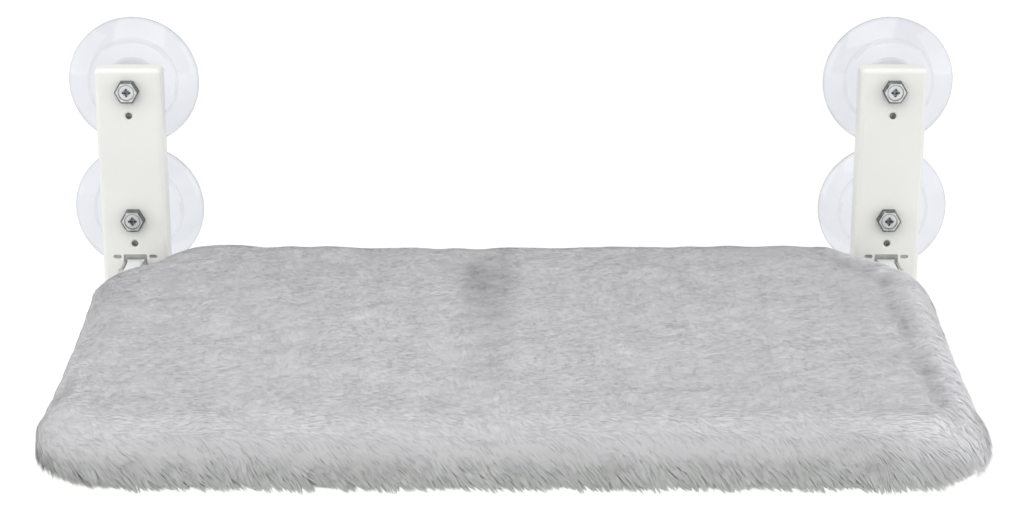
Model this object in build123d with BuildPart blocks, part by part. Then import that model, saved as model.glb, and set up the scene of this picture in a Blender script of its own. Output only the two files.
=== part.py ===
from build123d import *
from math import atan2, cos, radians, sin, tan
import os

# Window mounted cat perch, in millimetres: +X to the right, +Y towards the window pane, +Z up.
# The origin is the point on the pane (y = 0) midway between the four suction cups.

# Where the cups stand on the pane
cup_span = 465.0  # between the two columns of cups
cup_rise = 81.0  # between the upper and the lower cup of a column

# Suction cups
cup_radius = 40.0
lip_land = 2.5  # flat ring that seals on the pane
lip_thickness = 1.5
ring_radius = 27.5  # step round the dome
ring_height = 8.2
ring_step = 1.4
dome_hollow = 5.0  # depth of the hollow under the dome
dome_hollow_radius_share = 0.55  # where the hollow's curve is fixed, from the middle to the lip
dome_hollow_depth_share = 0.8
dome_back_height_share = 0.68  # height of the dome's back half way from the lip to the step
shoulder_radius = 15.5  # thick boss round the neck, which shows above the bracket
shoulder_step = 1.4
shoulder_height = 10.4
neck_radius = 10.3
cup_height = 26.3  # from the pane to the end of the neck

# Cup bolts and the nuts moulded into the necks
bolt_radius = 4.0
bolt_length = 12.0
head_across_flats = 13.0
head_height = 5.3
head_bevel = 0.7
head_dish_radius = 4.7
head_dish_depth = 0.5
recess_length = 5.4
recess_width = 1.3
recess_depth = 2.0
thread_clearance = 0.03
neck_hole_clearance = 0.2
bolt_end_room = 1.5
insert_across_flats = 13.0
insert_height = 6.5
insert_depth = 2.0  # below the end of the neck

# Brackets: drawn steel channels, open towards the pane
sheet = 2.0
bracket_width = 40.0
flange_depth = 17.5
top_flange_depth = 14.0
bend_radius = 3.0
bracket_top_above_bolt = 13.5
bracket_foot_below_rail = 7.5
foot_corner_radius = 7.0
bolt_hole_radius = 4.5
spare_hole_radius = 1.65  # tapped M4
spare_sink_radius = 3.0
spare_collar_radius = 3.1  # drawn collar behind the web
spare_collar_height = 3.0
spare_hole_drop = 15.8  # below each bolt
notch_top_above_rail = 3.5
notch_side_clearance = 0.35
notch_foot_clearance = 1.0
notch_corner_radius = 1.0
weld_slot_length = 5.0
weld_slot_width = 2.5
weld_slot_offset = 11.0  # to each side of the bracket's middle
weld_slot_above_rail = 2.0

# Bed frame: rectangular tube
rail_width = 10.0
rail_height = 20.0
rail_wall = 1.5
rail_corner_radius = 2.0
rail_bore_radius = 0.6  # inside the tube's corners
rail_drop = 26.0  # from the lower bolts to the top of the rails
frame_behind_web = 4.0  # from the web's front to the back of the rear rail
frame_depth = 292.5
frame_cut_width = 45.5  # how far the cut-off corner runs in from the side
frame_cut_depth = 61.0  # how far it runs forward
frame_front_radius = 30.0
frame_back_radius = 14.0

# Hinge: ears, pin and nylon block
pin_radius = 3.0
pin_ahead_of_web = 15.0
pin_below_rail_top = 6.0
pin_clearance = 0.05
pin_head_radius = 4.75
pin_head_height = 1.4
pin_head_round = 0.7
ear_sheet = 1.6
ear_side_clearance = 0.25
ear_nose_radius = 5.5
ear_bend_radius = 1.4
ear_foot_reach = 16.5
ear_foot_above_rail = 6.0
ear_foot_height = 18.0
ear_hole_clearance = 0.02
rail_hole_clearance = 0.1
block_flange = 2.0
block_stem_length = 26.0
block_fit = 0.05

# Deck
slat_width = 20.0
slat_thickness = 3.0
slat_pitch = 115.0
board_thickness = 4.0
board_side_clearance = 0.5
board_cut_radius = 6.0
pad_side_clearance = 1.0
pad_top_clearance = 0.3
pad_edge_round = 3.0

# Plush cover, measured to the middle of its pile
cover_wall = 7.0
cover_under_wall = 6.0
cover_clearance = 0.3
cover_side_sag = 2.0  # how far the long edges are drawn in between their corners
cover_front_radius = 38.0
cover_cut_radius = 24.0
cover_back_radius = 18.0
cover_edge_round = 11.0
crown_rise = 1.6
crown_plan_shares = (0.82, 0.55)
crown_rise_shares = (0.7, 1.0)
crease_x = -12.0
crease_radius = 42.0
crease_depth = 2.4
arm_slot_clearance = 0.6
turn_under = 38.0  # plush that is turned under the bed
panel_overlap = 14.0
panel_thickness = 1.2
panel_edge_clearance = 0.3
panel_corner_radius = 12.0
tape_end_inset = 42.0  # from where the frame's back turns
tape_width = 11.0
tape_thickness = 1.0
tape_edge_clearance = 0.2

overrun = 1.0  # by which cuts run past what they cut

# Angles of the cover's rounded edge, from its foot to its shoulder
lower_edge_degrees = (-90, -60, -30, 0)
upper_edge_degrees = (0, 30, 60, 90)
spare_sink_degrees = 90

# Places that follow from the sizes
cup_columns = {"left": -cup_span / 2, "right": cup_span / 2}
cup_rows = {"upper": cup_rise / 2, "lower": -cup_rise / 2}
web_back_y = -cup_height
web_front_y = web_back_y - sheet
bracket_top_z = cup_rise / 2 + bracket_top_above_bolt
rail_top_z = -cup_rise / 2 - rail_drop
rail_z = rail_top_z - rail_height / 2
rail_foot_z = rail_top_z - rail_height
bracket_foot_z = rail_foot_z - bracket_foot_below_rail
pin_y = web_front_y - pin_ahead_of_web
pin_z = rail_top_z - pin_below_rail_top
ear_inner = rail_width / 2 + ear_side_clearance
ear_outer = ear_inner + ear_sheet
ear_back_y = web_back_y + ear_sheet
notch_half_width = ear_outer + notch_side_clearance
notch_top_z = rail_top_z + notch_top_above_rail
notch_foot_z = pin_z - pin_below_rail_top - notch_foot_clearance
rail_x = cup_span / 2
rail_end_y = web_front_y - block_flange
frame_side_x = rail_x + rail_width / 2
frame_corner_x = frame_side_x - frame_cut_width
frame_back_y = web_front_y - frame_behind_web
frame_front_y = frame_back_y - frame_depth
frame_cut_y = frame_back_y - frame_cut_depth
bed_middle_y = (frame_back_y + frame_front_y) / 2
cut_turn = atan2(frame_cut_depth, frame_cut_width)
slat_foot_z = rail_foot_z + rail_corner_radius
board_foot_z = slat_foot_z + slat_thickness
pad_foot_z = board_foot_z + board_thickness
pad_thickness = rail_top_z - pad_top_clearance - pad_foot_z
cavity_foot_z = rail_foot_z - cover_clearance
cavity_height = rail_height + 2 * cover_clearance
cover_foot_z = rail_foot_z - cover_under_wall
cover_shoulder_z = rail_top_z + cover_wall
panel_foot_z = cavity_foot_z - panel_thickness
panel_inset = turn_under - panel_overlap - cover_wall
window_inset = turn_under - cover_wall
panel_radii = (panel_corner_radius,) * 3
tape_y = frame_back_y - (panel_inset + window_inset) / 2
tape_length = 2 * (frame_corner_x - tape_end_inset)

os.makedirs("parts", exist_ok=True)


def save(piece, label):
    """Labels a finished piece, writes it and prints what it holds."""
    piece.part.label = label
    export_step(piece.part, f"parts/{label}.step")
    print(label, "solids", len(piece.part.solids()), "volume", round(piece.part.volume))


def facing(x, z, y=web_front_y):
    """A plane that faces the room, at a point of a bracket or a cup."""
    return Plane((x, y, z), x_dir=(1, 0, 0), z_dir=(0, -1, 0))


def plan_corners(inset, share):
    """The bed's six corners in plan, from the front right and counter-clockwise, drawn in by inset from
    the outside of the frame and then shrunk to a share about the middle of the bed."""
    right_side = [
        (frame_side_x - inset, frame_front_y + inset),
        (frame_side_x - inset, frame_cut_y - inset * tan((radians(90) - cut_turn) / 2)),
        (frame_corner_x - inset * tan(cut_turn / 2), frame_back_y - inset),
    ]
    left_side = [(-x, y) for x, y in reversed(right_side)]
    return [(x * share, bed_middle_y + (y - bed_middle_y) * share) for x, y in right_side + left_side]


def plan(z, inset, radii, share=1, sag=0):
    """The bed's outline in plan at a height. radii round the front, the cut-off and the back corners,
    and with a sag the front, the back and the sides are drawn in between their corners."""
    corners = plan_corners(inset, share)
    front_radius, cut_radius, back_radius = radii
    with BuildSketch(Plane.XY.offset(z)) as outline:
        with BuildLine():
            for start, end, drawn_in in zip(corners, corners[1:] + corners[:1], (1, 0, 1, 0, 1, 1)):
                if sag and drawn_in:
                    SagittaArc(start, end, sag * share)
                else:
                    Line(start, end)
        make_face()
        fillet(outline.vertices().group_by(Axis.Y)[1], cut_radius * share)
        fillet(outline.vertices().group_by(Axis.Y)[0], front_radius * share)
        fillet(outline.vertices().group_by(Axis.Y)[-1], back_radius * share)
    return outline.sketch


def tube_section(path, wall, corner_radius):
    """The rail's section at the start of a path, drawn in by a wall."""
    along = path % 0
    with BuildSketch(Plane(path @ 0, x_dir=along.rotate(Axis.Z, 90), z_dir=along)) as section:
        RectangleRounded(rail_width - 2 * wall, rail_height - 2 * wall, corner_radius)
    return section.sketch


# Suction cups: turned profiles with a hollow under the dome and a nut's pocket in the neck
for row, z in cup_rows.items():
    for side, x in cup_columns.items():
        hollow_radius = cup_radius - lip_land
        with BuildPart() as cup:
            with BuildSketch(Plane((x, 0, z))):
                with BuildLine():
                    ThreePointArc(
                        (0, -dome_hollow),
                        (hollow_radius * dome_hollow_radius_share, -dome_hollow * dome_hollow_depth_share),
                        (hollow_radius, 0),
                    )
                    Polyline((hollow_radius, 0), (cup_radius, 0), (cup_radius, -lip_thickness))
                    ThreePointArc(
                        (cup_radius, -lip_thickness),
                        ((cup_radius + ring_radius) / 2, -ring_height * dome_back_height_share),
                        (ring_radius, -ring_height),
                    )
                    Polyline(
                        (ring_radius, -ring_height),
                        (ring_radius - ring_step, -ring_height - ring_step),
                        (shoulder_radius + shoulder_step, -shoulder_height + shoulder_step),
                        (shoulder_radius, -shoulder_height),
                        (neck_radius, -shoulder_height),
                        (neck_radius, -cup_height),
                        (0, -cup_height),
                        (0, -dome_hollow),
                    )
                make_face()
            revolve(axis=Axis((x, 0, z), (0, 1, 0)))
            with BuildSketch(facing(x, z, web_back_y)):
                Circle(bolt_radius + neck_hole_clearance)
            extrude(amount=sheet - bolt_length - bolt_end_room, mode=Mode.SUBTRACT)
            with BuildSketch(facing(x, z, web_back_y + insert_depth)):
                RegularPolygon(insert_across_flats / 2, 6, major_radius=False)
            extrude(amount=-insert_height, mode=Mode.SUBTRACT)
        save(cup, f"{row}_{side}_cup")

for side, x in cup_columns.items():
    # Nuts in the cups' necks
    with BuildPart() as inserts:
        for z in cup_rows.values():
            with BuildSketch(facing(x, z, web_back_y + insert_depth)):
                RegularPolygon(insert_across_flats / 2, 6, major_radius=False)
                Circle(bolt_radius + thread_clearance, mode=Mode.SUBTRACT)
            extrude(amount=-insert_height)
    save(inserts, f"{side}_cup_inserts")

    # Hex head bolts with a dished top and a cross recess
    head_corner_radius = head_across_flats / 2 / cos(radians(30))
    with BuildPart() as bolts:
        for z in cup_rows.values():
            with BuildSketch(facing(x, z)):
                RegularPolygon(head_across_flats / 2, 6, major_radius=False)
            extrude(amount=head_height)
            with BuildSketch(facing(x, z)):
                Circle(bolt_radius)
            extrude(amount=-bolt_length)
            head_top_y = web_front_y - head_height
            with BuildSketch(Plane((x, 0, z))):
                with BuildLine():
                    Polyline(
                        (head_across_flats / 2, head_top_y),
                        (head_corner_radius + overrun, head_top_y),
                        (head_corner_radius + overrun, head_top_y + head_bevel * 2),
                        close=True,
                    )
                make_face()
            revolve(axis=Axis((x, 0, z), (0, 1, 0)), mode=Mode.SUBTRACT)
            with BuildSketch(facing(x, z, head_top_y)):
                Circle(head_dish_radius)
            extrude(amount=-head_dish_depth, mode=Mode.SUBTRACT)
            with BuildSketch(facing(x, z, head_top_y)):
                Rectangle(recess_length, recess_width)
                Rectangle(recess_width, recess_length)
            extrude(amount=-head_dish_depth - recess_depth, mode=Mode.SUBTRACT)
    save(bolts, f"{side}_cup_bolts")

    # Bracket: a drawn channel that is open at the back and at the foot
    with BuildPart() as bracket:
        with BuildSketch(Plane.XY.offset(bracket_foot_z)):
            with Locations((x, web_front_y + flange_depth / 2)):
                Rectangle(bracket_width, flange_depth)
        extrude(amount=bracket_top_z - bracket_foot_z)
        front = bracket.faces().sort_by(Axis.Y)[0]
        top = bracket.faces().sort_by(Axis.Z)[-1]
        bends = front.edges().filter_by(Axis.Z) + front.edges().sort_by(Axis.Z)[-1:]
        fillet(bends + top.edges().filter_by(Axis.Y), bend_radius)
        back_and_foot = [bracket.faces().sort_by(Axis.Y)[-1], bracket.faces().sort_by(Axis.Z)[0]]
        offset(amount=-sheet, openings=back_and_foot)
        with BuildSketch(Plane.XY.offset(bracket_top_z)):
            with Locations((x, web_front_y + (top_flange_depth + flange_depth + overrun) / 2)):
                Rectangle(bracket_width + overrun, flange_depth + overrun - top_flange_depth)
        extrude(amount=-bend_radius, mode=Mode.SUBTRACT)
        foot_corners = bracket.edges().filter_by(Axis.X).group_by(Axis.Y)[-1].group_by(Axis.Z)[0]
        fillet(foot_corners, foot_corner_radius)
        with Locations(*[facing(x, z) for z in cup_rows.values()]):
            Hole(bolt_hole_radius, depth=sheet + overrun)
        for z in cup_rows.values():
            with BuildSketch(facing(x, z - spare_hole_drop, web_back_y)):
                Circle(spare_collar_radius)
            extrude(amount=-spare_collar_height)
        spare_depth = sheet + spare_collar_height + overrun
        with Locations(*[facing(x, z - spare_hole_drop) for z in cup_rows.values()]):
            CounterSinkHole(
                spare_hole_radius, spare_sink_radius, spare_depth, counter_sink_angle=spare_sink_degrees
            )
        with BuildSketch(facing(x, (notch_top_z + notch_foot_z) / 2)):
            RectangleRounded(2 * notch_half_width, notch_top_z - notch_foot_z, notch_corner_radius)
        extrude(amount=-sheet - overrun, mode=Mode.SUBTRACT)
        with BuildSketch(facing(x, rail_top_z + weld_slot_above_rail)):
            with Locations((-weld_slot_offset, 0), (weld_slot_offset, 0)):
                SlotOverall(weld_slot_length, weld_slot_width)
        extrude(amount=-sheet - overrun, mode=Mode.SUBTRACT)
    save(bracket, f"{side}_bracket")

    # Hinge ears: bent forward from one plate, whose feet and bridge lie behind the web
    with BuildPart() as ears:
        for hand in (-1, 1):
            with BuildSketch(Plane.YZ.offset(x + hand * ear_inner)):
                with Locations((pin_y, pin_z)):
                    Circle(ear_nose_radius)
                with Locations(((pin_y + ear_back_y) / 2, pin_z)):
                    Rectangle(ear_back_y - pin_y, 2 * ear_nose_radius)
                with Locations((pin_y, pin_z)):
                    Circle(pin_radius + ear_hole_clearance, mode=Mode.SUBTRACT)
            extrude(amount=hand * ear_sheet)
            foot_z = rail_top_z + ear_foot_above_rail - ear_foot_height / 2
            with BuildSketch(facing(x + hand * (ear_inner + ear_foot_reach) / 2, foot_z, web_back_y)):
                Rectangle(ear_foot_reach - ear_inner, ear_foot_height)
            extrude(amount=-ear_sheet)
        heels = ears.edges().filter_by(Axis.Z).group_by(Axis.Y)[-1]
        fillet(heels.filter_by(lambda edge: abs(edge.center().X - x) < ear_outer), ear_bend_radius)
        ear_top_z = pin_z + ear_nose_radius
        foot_top_z = rail_top_z + ear_foot_above_rail
        with BuildSketch(facing(x, (foot_top_z + ear_top_z) / 2, web_back_y)):
            Rectangle(2 * ear_outer, foot_top_z - ear_top_z)
        extrude(amount=-ear_sheet)
    save(ears, f"{side}_hinge_ears")

    # Hinge pin, riveted over at both ends
    with BuildPart() as pin:
        with BuildSketch(Plane.YZ.offset(x - ear_outer)):
            with Locations((pin_y, pin_z)):
                Circle(pin_radius)
        extrude(amount=2 * ear_outer)
        for hand in (-1, 1):
            with BuildSketch(Plane.YZ.offset(x + hand * ear_outer)):
                with Locations((pin_y, pin_z)):
                    Circle(pin_head_radius)
            extrude(amount=hand * pin_head_height)
        ends = pin.edges().filter_by(GeomType.CIRCLE).group_by(Axis.X)
        fillet(ends[0] + ends[-1], pin_head_round)
    save(pin, f"{side}_hinge_pin")

    # Nylon block in the rail's end: the pin's bush, and the heel that bears on the web
    with BuildPart() as block:
        with BuildSketch(facing(x, rail_z)):
            RectangleRounded(rail_width, rail_height, rail_corner_radius)
        extrude(amount=block_flange)
        with BuildSketch(facing(x, rail_z, rail_end_y)):
            bore_drop = 2 * (rail_wall + block_fit)
            RectangleRounded(rail_width - bore_drop, rail_height - bore_drop, rail_bore_radius)
        extrude(amount=block_stem_length)
        with BuildSketch(Plane.YZ.offset(x)):
            with Locations((pin_y, pin_z)):
                Circle(pin_radius + pin_clearance)
        extrude(amount=rail_width, both=True, mode=Mode.SUBTRACT)
    save(block, f"{side}_hinge_block")

# Front frame: both side rails and the front rail in one bent tube
with BuildPart() as front_frame:
    front_y = frame_front_y + rail_width / 2
    with BuildLine() as bent:
        FilletPolyline(
            (-rail_x, rail_end_y, rail_z),
            (-rail_x, front_y, rail_z),
            (rail_x, front_y, rail_z),
            (rail_x, rail_end_y, rail_z),
            radius=frame_front_radius - rail_width / 2,
        )
    sweep(tube_section(bent.line, 0, rail_corner_radius), path=bent.line)
    sweep(tube_section(bent.line, rail_wall, rail_bore_radius), path=bent.line, mode=Mode.SUBTRACT)
    with BuildSketch(Plane.YZ):
        with Locations((pin_y, pin_z)):
            Circle(pin_radius + rail_hole_clearance)
    extrude(amount=frame_side_x + overrun, both=True, mode=Mode.SUBTRACT)
save(front_frame, "front_frame")

# Rear rail: it follows the cut-off corners and is mitred against the side rails
with BuildPart() as rear_rail:
    corners = plan_corners(rail_width / 2, 1)
    with BuildLine() as bent:
        FilletPolyline(
            *[(x, y, rail_z) for x, y in corners[1:5]],
            radius=frame_back_radius,
        )
    sweep(tube_section(bent.line, 0, rail_corner_radius), path=bent.line)
    sweep(tube_section(bent.line, rail_wall, rail_bore_radius), path=bent.line, mode=Mode.SUBTRACT)
    split(bisect_by=Plane.YZ.offset(rail_x - rail_width / 2), keep=Keep.BOTTOM)
    split(bisect_by=Plane.YZ.offset(rail_width / 2 - rail_x), keep=Keep.TOP)
save(rear_rail, "rear_rail")

# Slats from the front rail to the rear rail
for name, x in (("left", -slat_pitch), ("centre", 0), ("right", slat_pitch)):
    with BuildPart() as slat:
        with BuildSketch(Plane.XY.offset(slat_foot_z)):
            with Locations((x, bed_middle_y)):
                Rectangle(slat_width, frame_depth - 2 * rail_width)
        extrude(amount=slat_thickness)
    save(slat, f"{name}_slat")

# Deck board and foam pad inside the rails
board_inset = rail_width + board_side_clearance
inner_radii = (frame_front_radius - rail_width, board_cut_radius, frame_back_radius)
with BuildPart() as deck_board:
    extrude(plan(board_foot_z, board_inset, inner_radii), amount=board_thickness)
save(deck_board, "deck_board")

with BuildPart() as foam_pad:
    extrude(plan(pad_foot_z, rail_width + pad_side_clearance, inner_radii), amount=pad_thickness)
    fillet(foam_pad.faces().sort_by(Axis.Z)[-1].edges(), pad_edge_round)
save(foam_pad, "foam_pad")

# Plush cover: lofted from foot to crown, hollow for the frame and the pad, open underneath
with BuildPart() as plush_cover:
    cover_radii = (cover_front_radius, cover_cut_radius, cover_back_radius)
    sides = []
    for angle in lower_edge_degrees:
        rise = cover_edge_round * (1 + sin(radians(angle)))
        inset = cover_edge_round * (1 - cos(radians(angle))) - cover_wall
        sides.append(plan(cover_foot_z + rise, inset, cover_radii, sag=cover_side_sag))
    for angle in upper_edge_degrees:
        drop = cover_edge_round * (1 - sin(radians(angle)))
        inset = cover_edge_round * (1 - cos(radians(angle))) - cover_wall
        sides.append(plan(cover_shoulder_z - drop, inset, cover_radii, sag=cover_side_sag))
    loft(sides)
    crown = [sides[-1]]
    for plan_share, rise_share in zip(crown_plan_shares, crown_rise_shares):
        height = cover_shoulder_z + crown_rise * rise_share
        inset = cover_edge_round - cover_wall
        crown.append(plan(height, inset, cover_radii, plan_share, cover_side_sag))
    loft(crown)
    crease_z = cover_shoulder_z + crown_rise + crease_radius - crease_depth
    with BuildSketch(Plane.XZ.offset(-bed_middle_y)):
        with Locations((crease_x, crease_z)):
            Circle(crease_radius)
    extrude(amount=frame_depth, both=True, mode=Mode.SUBTRACT)
    frame_radii = (
        frame_front_radius + cover_clearance,
        board_cut_radius,
        frame_back_radius + rail_width / 2,
    )
    extrude(plan(cavity_foot_z, -cover_clearance, frame_radii), amount=cavity_height, mode=Mode.SUBTRACT)
    with BuildSketch(facing(0, rail_z, frame_cut_y)):
        with Locations((-rail_x, 0), (rail_x, 0)):
            Rectangle(rail_width + 2 * arm_slot_clearance, rail_height + 2 * arm_slot_clearance)
    extrude(amount=frame_cut_y - frame_back_y - cover_wall, mode=Mode.SUBTRACT)
    extrude(
        plan(cover_foot_z - overrun, window_inset, panel_radii),
        amount=cavity_foot_z - cover_foot_z + 2 * overrun,
        mode=Mode.SUBTRACT,
    )
    extrude(
        plan(panel_foot_z, panel_inset, panel_radii),
        amount=panel_thickness + overrun,
        mode=Mode.SUBTRACT,
    )
    with BuildSketch(Plane.XY.offset(panel_foot_z)):
        with Locations((0, tape_y)):
            Rectangle(tape_length + 2 * tape_edge_clearance, tape_width + 2 * tape_edge_clearance)
    extrude(amount=-2 * tape_thickness, mode=Mode.SUBTRACT)
save(plush_cover, "plush_cover")

# Underside panel, inside the turned-under plush
with BuildPart() as underside_panel:
    extrude(plan(panel_foot_z, panel_inset + panel_edge_clearance, panel_radii), amount=panel_thickness)
save(underside_panel, "underside_panel")

# Closure tapes between the panel and the turned-under plush
for name, top_z in (("hook", panel_foot_z), ("loop", panel_foot_z - tape_thickness)):
    with BuildPart() as tape:
        with BuildSketch(Plane.XY.offset(top_z)):
            with Locations((0, tape_y)):
                Rectangle(tape_length, tape_width)
        extrude(amount=-tape_thickness)
    save(tape, f"closure_{name}_tape")
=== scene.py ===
"""Looks of a window mounted cat perch: finishes, plush and studio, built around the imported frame."""

import logging
import math
from dataclasses import dataclass
from enum import Enum
from typing import Any, Callable, Iterable, Sequence

import bpy
import numpy as np
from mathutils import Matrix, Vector, kdtree


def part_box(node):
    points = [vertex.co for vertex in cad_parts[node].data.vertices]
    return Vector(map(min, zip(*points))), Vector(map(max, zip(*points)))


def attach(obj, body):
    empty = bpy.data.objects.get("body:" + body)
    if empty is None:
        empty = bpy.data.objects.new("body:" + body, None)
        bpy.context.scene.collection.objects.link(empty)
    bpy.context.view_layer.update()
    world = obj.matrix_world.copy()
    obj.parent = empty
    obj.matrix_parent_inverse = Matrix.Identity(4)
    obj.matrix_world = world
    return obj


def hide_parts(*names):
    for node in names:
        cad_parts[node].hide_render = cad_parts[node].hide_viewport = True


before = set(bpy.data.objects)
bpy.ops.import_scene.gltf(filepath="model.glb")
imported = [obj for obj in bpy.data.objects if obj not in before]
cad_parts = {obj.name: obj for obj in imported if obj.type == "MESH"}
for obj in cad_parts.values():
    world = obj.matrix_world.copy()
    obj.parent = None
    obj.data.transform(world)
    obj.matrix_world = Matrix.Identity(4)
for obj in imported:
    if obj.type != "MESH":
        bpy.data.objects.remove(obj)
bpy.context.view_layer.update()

log = logging.getLogger("cat_perch")
Colour = tuple[float, float, float]
Limits = tuple[float, float]
Points = np.ndarray
FLOAT, COLOUR = "NodeSocketFloat", "NodeSocketColor"


class Body(Enum):
    """The rigid bodies that a piece can ride on."""

    BRACKETS = "root"
    BED = "platform"


SIDES = ("left", "right")
ROWS = ("upper", "lower")
COLUMN_X = 0.2325
ROW_Z = 0.0405
SPARE_DROP = 0.0158
# Heights where the plush's painted shade down the sides begins and where its painted foot tone begins.
CROWN_TO_EDGE_Z: Limits = (-0.0590, -0.0720)
EDGE_TO_FOOT_Z: Limits = (-0.0800, -0.0930)


def smooth_step(low: float, high: float, value: Points) -> Points:
    """Rises smoothly from 0 to 1 between two limits.

    Args:
        low: Where the rise starts.
        high: Where the rise ends. It may lie below low.
        value: The values to test.

    Returns:
        The share of the rise at each value.
    """
    share = np.clip((value - low) / (high - low), 0.0, 1.0)
    return share * share * (3.0 - 2.0 * share)


def unit(vectors: Points) -> Points:
    """Vectors of the same directions with length 1."""
    return vectors / np.maximum(np.linalg.norm(vectors, axis=-1, keepdims=True), 1e-12)


@dataclass(frozen=True)
class Ripple:
    """Smooth seeded unevenness: a sum of plane waves about one length, in metres."""

    wavelength: float
    seed: int
    height: float = 1.0
    waves: int = 28

    def at(self, places: Points) -> Points:
        """Reads the ripple.

        Args:
            places: Points as rows of x, y and z.

        Returns:
            One value a point, mostly within the ripple's height to either side of 0.
        """
        rng = np.random.default_rng(self.seed)
        ways = unit(rng.normal(size=(self.waves, 3)))
        lengths = self.wavelength * rng.uniform(0.7, 1.6, self.waves)
        phases = rng.uniform(0.0, math.tau, self.waves)
        steps = places @ (ways * (math.tau / lengths)[:, None]).T + phases
        return self.height * (np.cos(steps).sum(axis=1) / math.sqrt(self.waves))


@dataclass(frozen=True)
class Hump:
    """A smooth hump across one value, such as a distance in metres, that fades out to both sides."""

    middle: float
    half_width: float
    height: float = 1.0
    power: int = 2

    def at(self, values: Points) -> Points:
        """The hump's height at each value."""
        return self.height * np.exp(-(((values - self.middle) / self.half_width) ** self.power))


def mesh_piece(
    name: str, points: Points, faces: Sequence[Sequence[int]], smooth: bool = True
) -> bpy.types.Object:
    """Makes an object from points and faces.

    Args:
        name: The piece's name.
        points: The mesh's points in metres.
        faces: The point numbers of each face.
        smooth: Whether the faces are shaded smooth.

    Returns:
        The new object, linked to the scene.
    """
    mesh = bpy.data.meshes.new(name)
    mesh.from_pydata(np.asarray(points).tolist(), [], [list(face) for face in faces])
    if smooth:
        mesh.shade_smooth()
    piece = bpy.data.objects.new(name, mesh)
    bpy.context.scene.collection.objects.link(piece)
    return piece


def places_of(mesh: bpy.types.Mesh) -> Points:
    """Reads where a mesh's points are.

    Args:
        mesh: The mesh.

    Returns:
        The points as rows of x, y and z.
    """
    flat = np.empty(len(mesh.vertices) * 3, np.float32)
    mesh.vertices.foreach_get("co", flat)
    return flat.reshape(-1, 3).astype(float)


def normals_of(mesh: bpy.types.Mesh) -> Points:
    """Reads which way a mesh faces at its points.

    Args:
        mesh: The mesh.

    Returns:
        The point normals as rows of x, y and z.
    """
    flat = np.empty(len(mesh.vertices) * 3, np.float32)
    mesh.vertex_normals.foreach_get("vector", flat)
    return flat.reshape(-1, 3).astype(float)


def set_places(mesh: bpy.types.Mesh, places: Points) -> None:
    """Moves a mesh's points.

    Args:
        mesh: The mesh to change.
        places: The new places as rows of x, y and z.
    """
    mesh.vertices.foreach_set("co", places.astype(np.float32).ravel())
    mesh.update()


def dress(piece: bpy.types.Object, material: bpy.types.Material) -> None:
    """Gives a piece one material in place of any that it has."""
    piece.data.materials.clear()
    piece.data.materials.append(material)


def seat(piece: bpy.types.Object, body: Body, stands_for: Iterable[str] = ()) -> None:
    """Fixes a new piece to a body and hides the CAD nodes that it stands for.

    Args:
        piece: The piece, already in place.
        body: The body that it rides on.
        stands_for: The CAD nodes that it hides.
    """
    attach(piece, body.value)
    if stands_for:
        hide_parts(*stands_for)
    log.info("%s: %d faces on %s", piece.name, len(piece.data.polygons), body.value)


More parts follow.
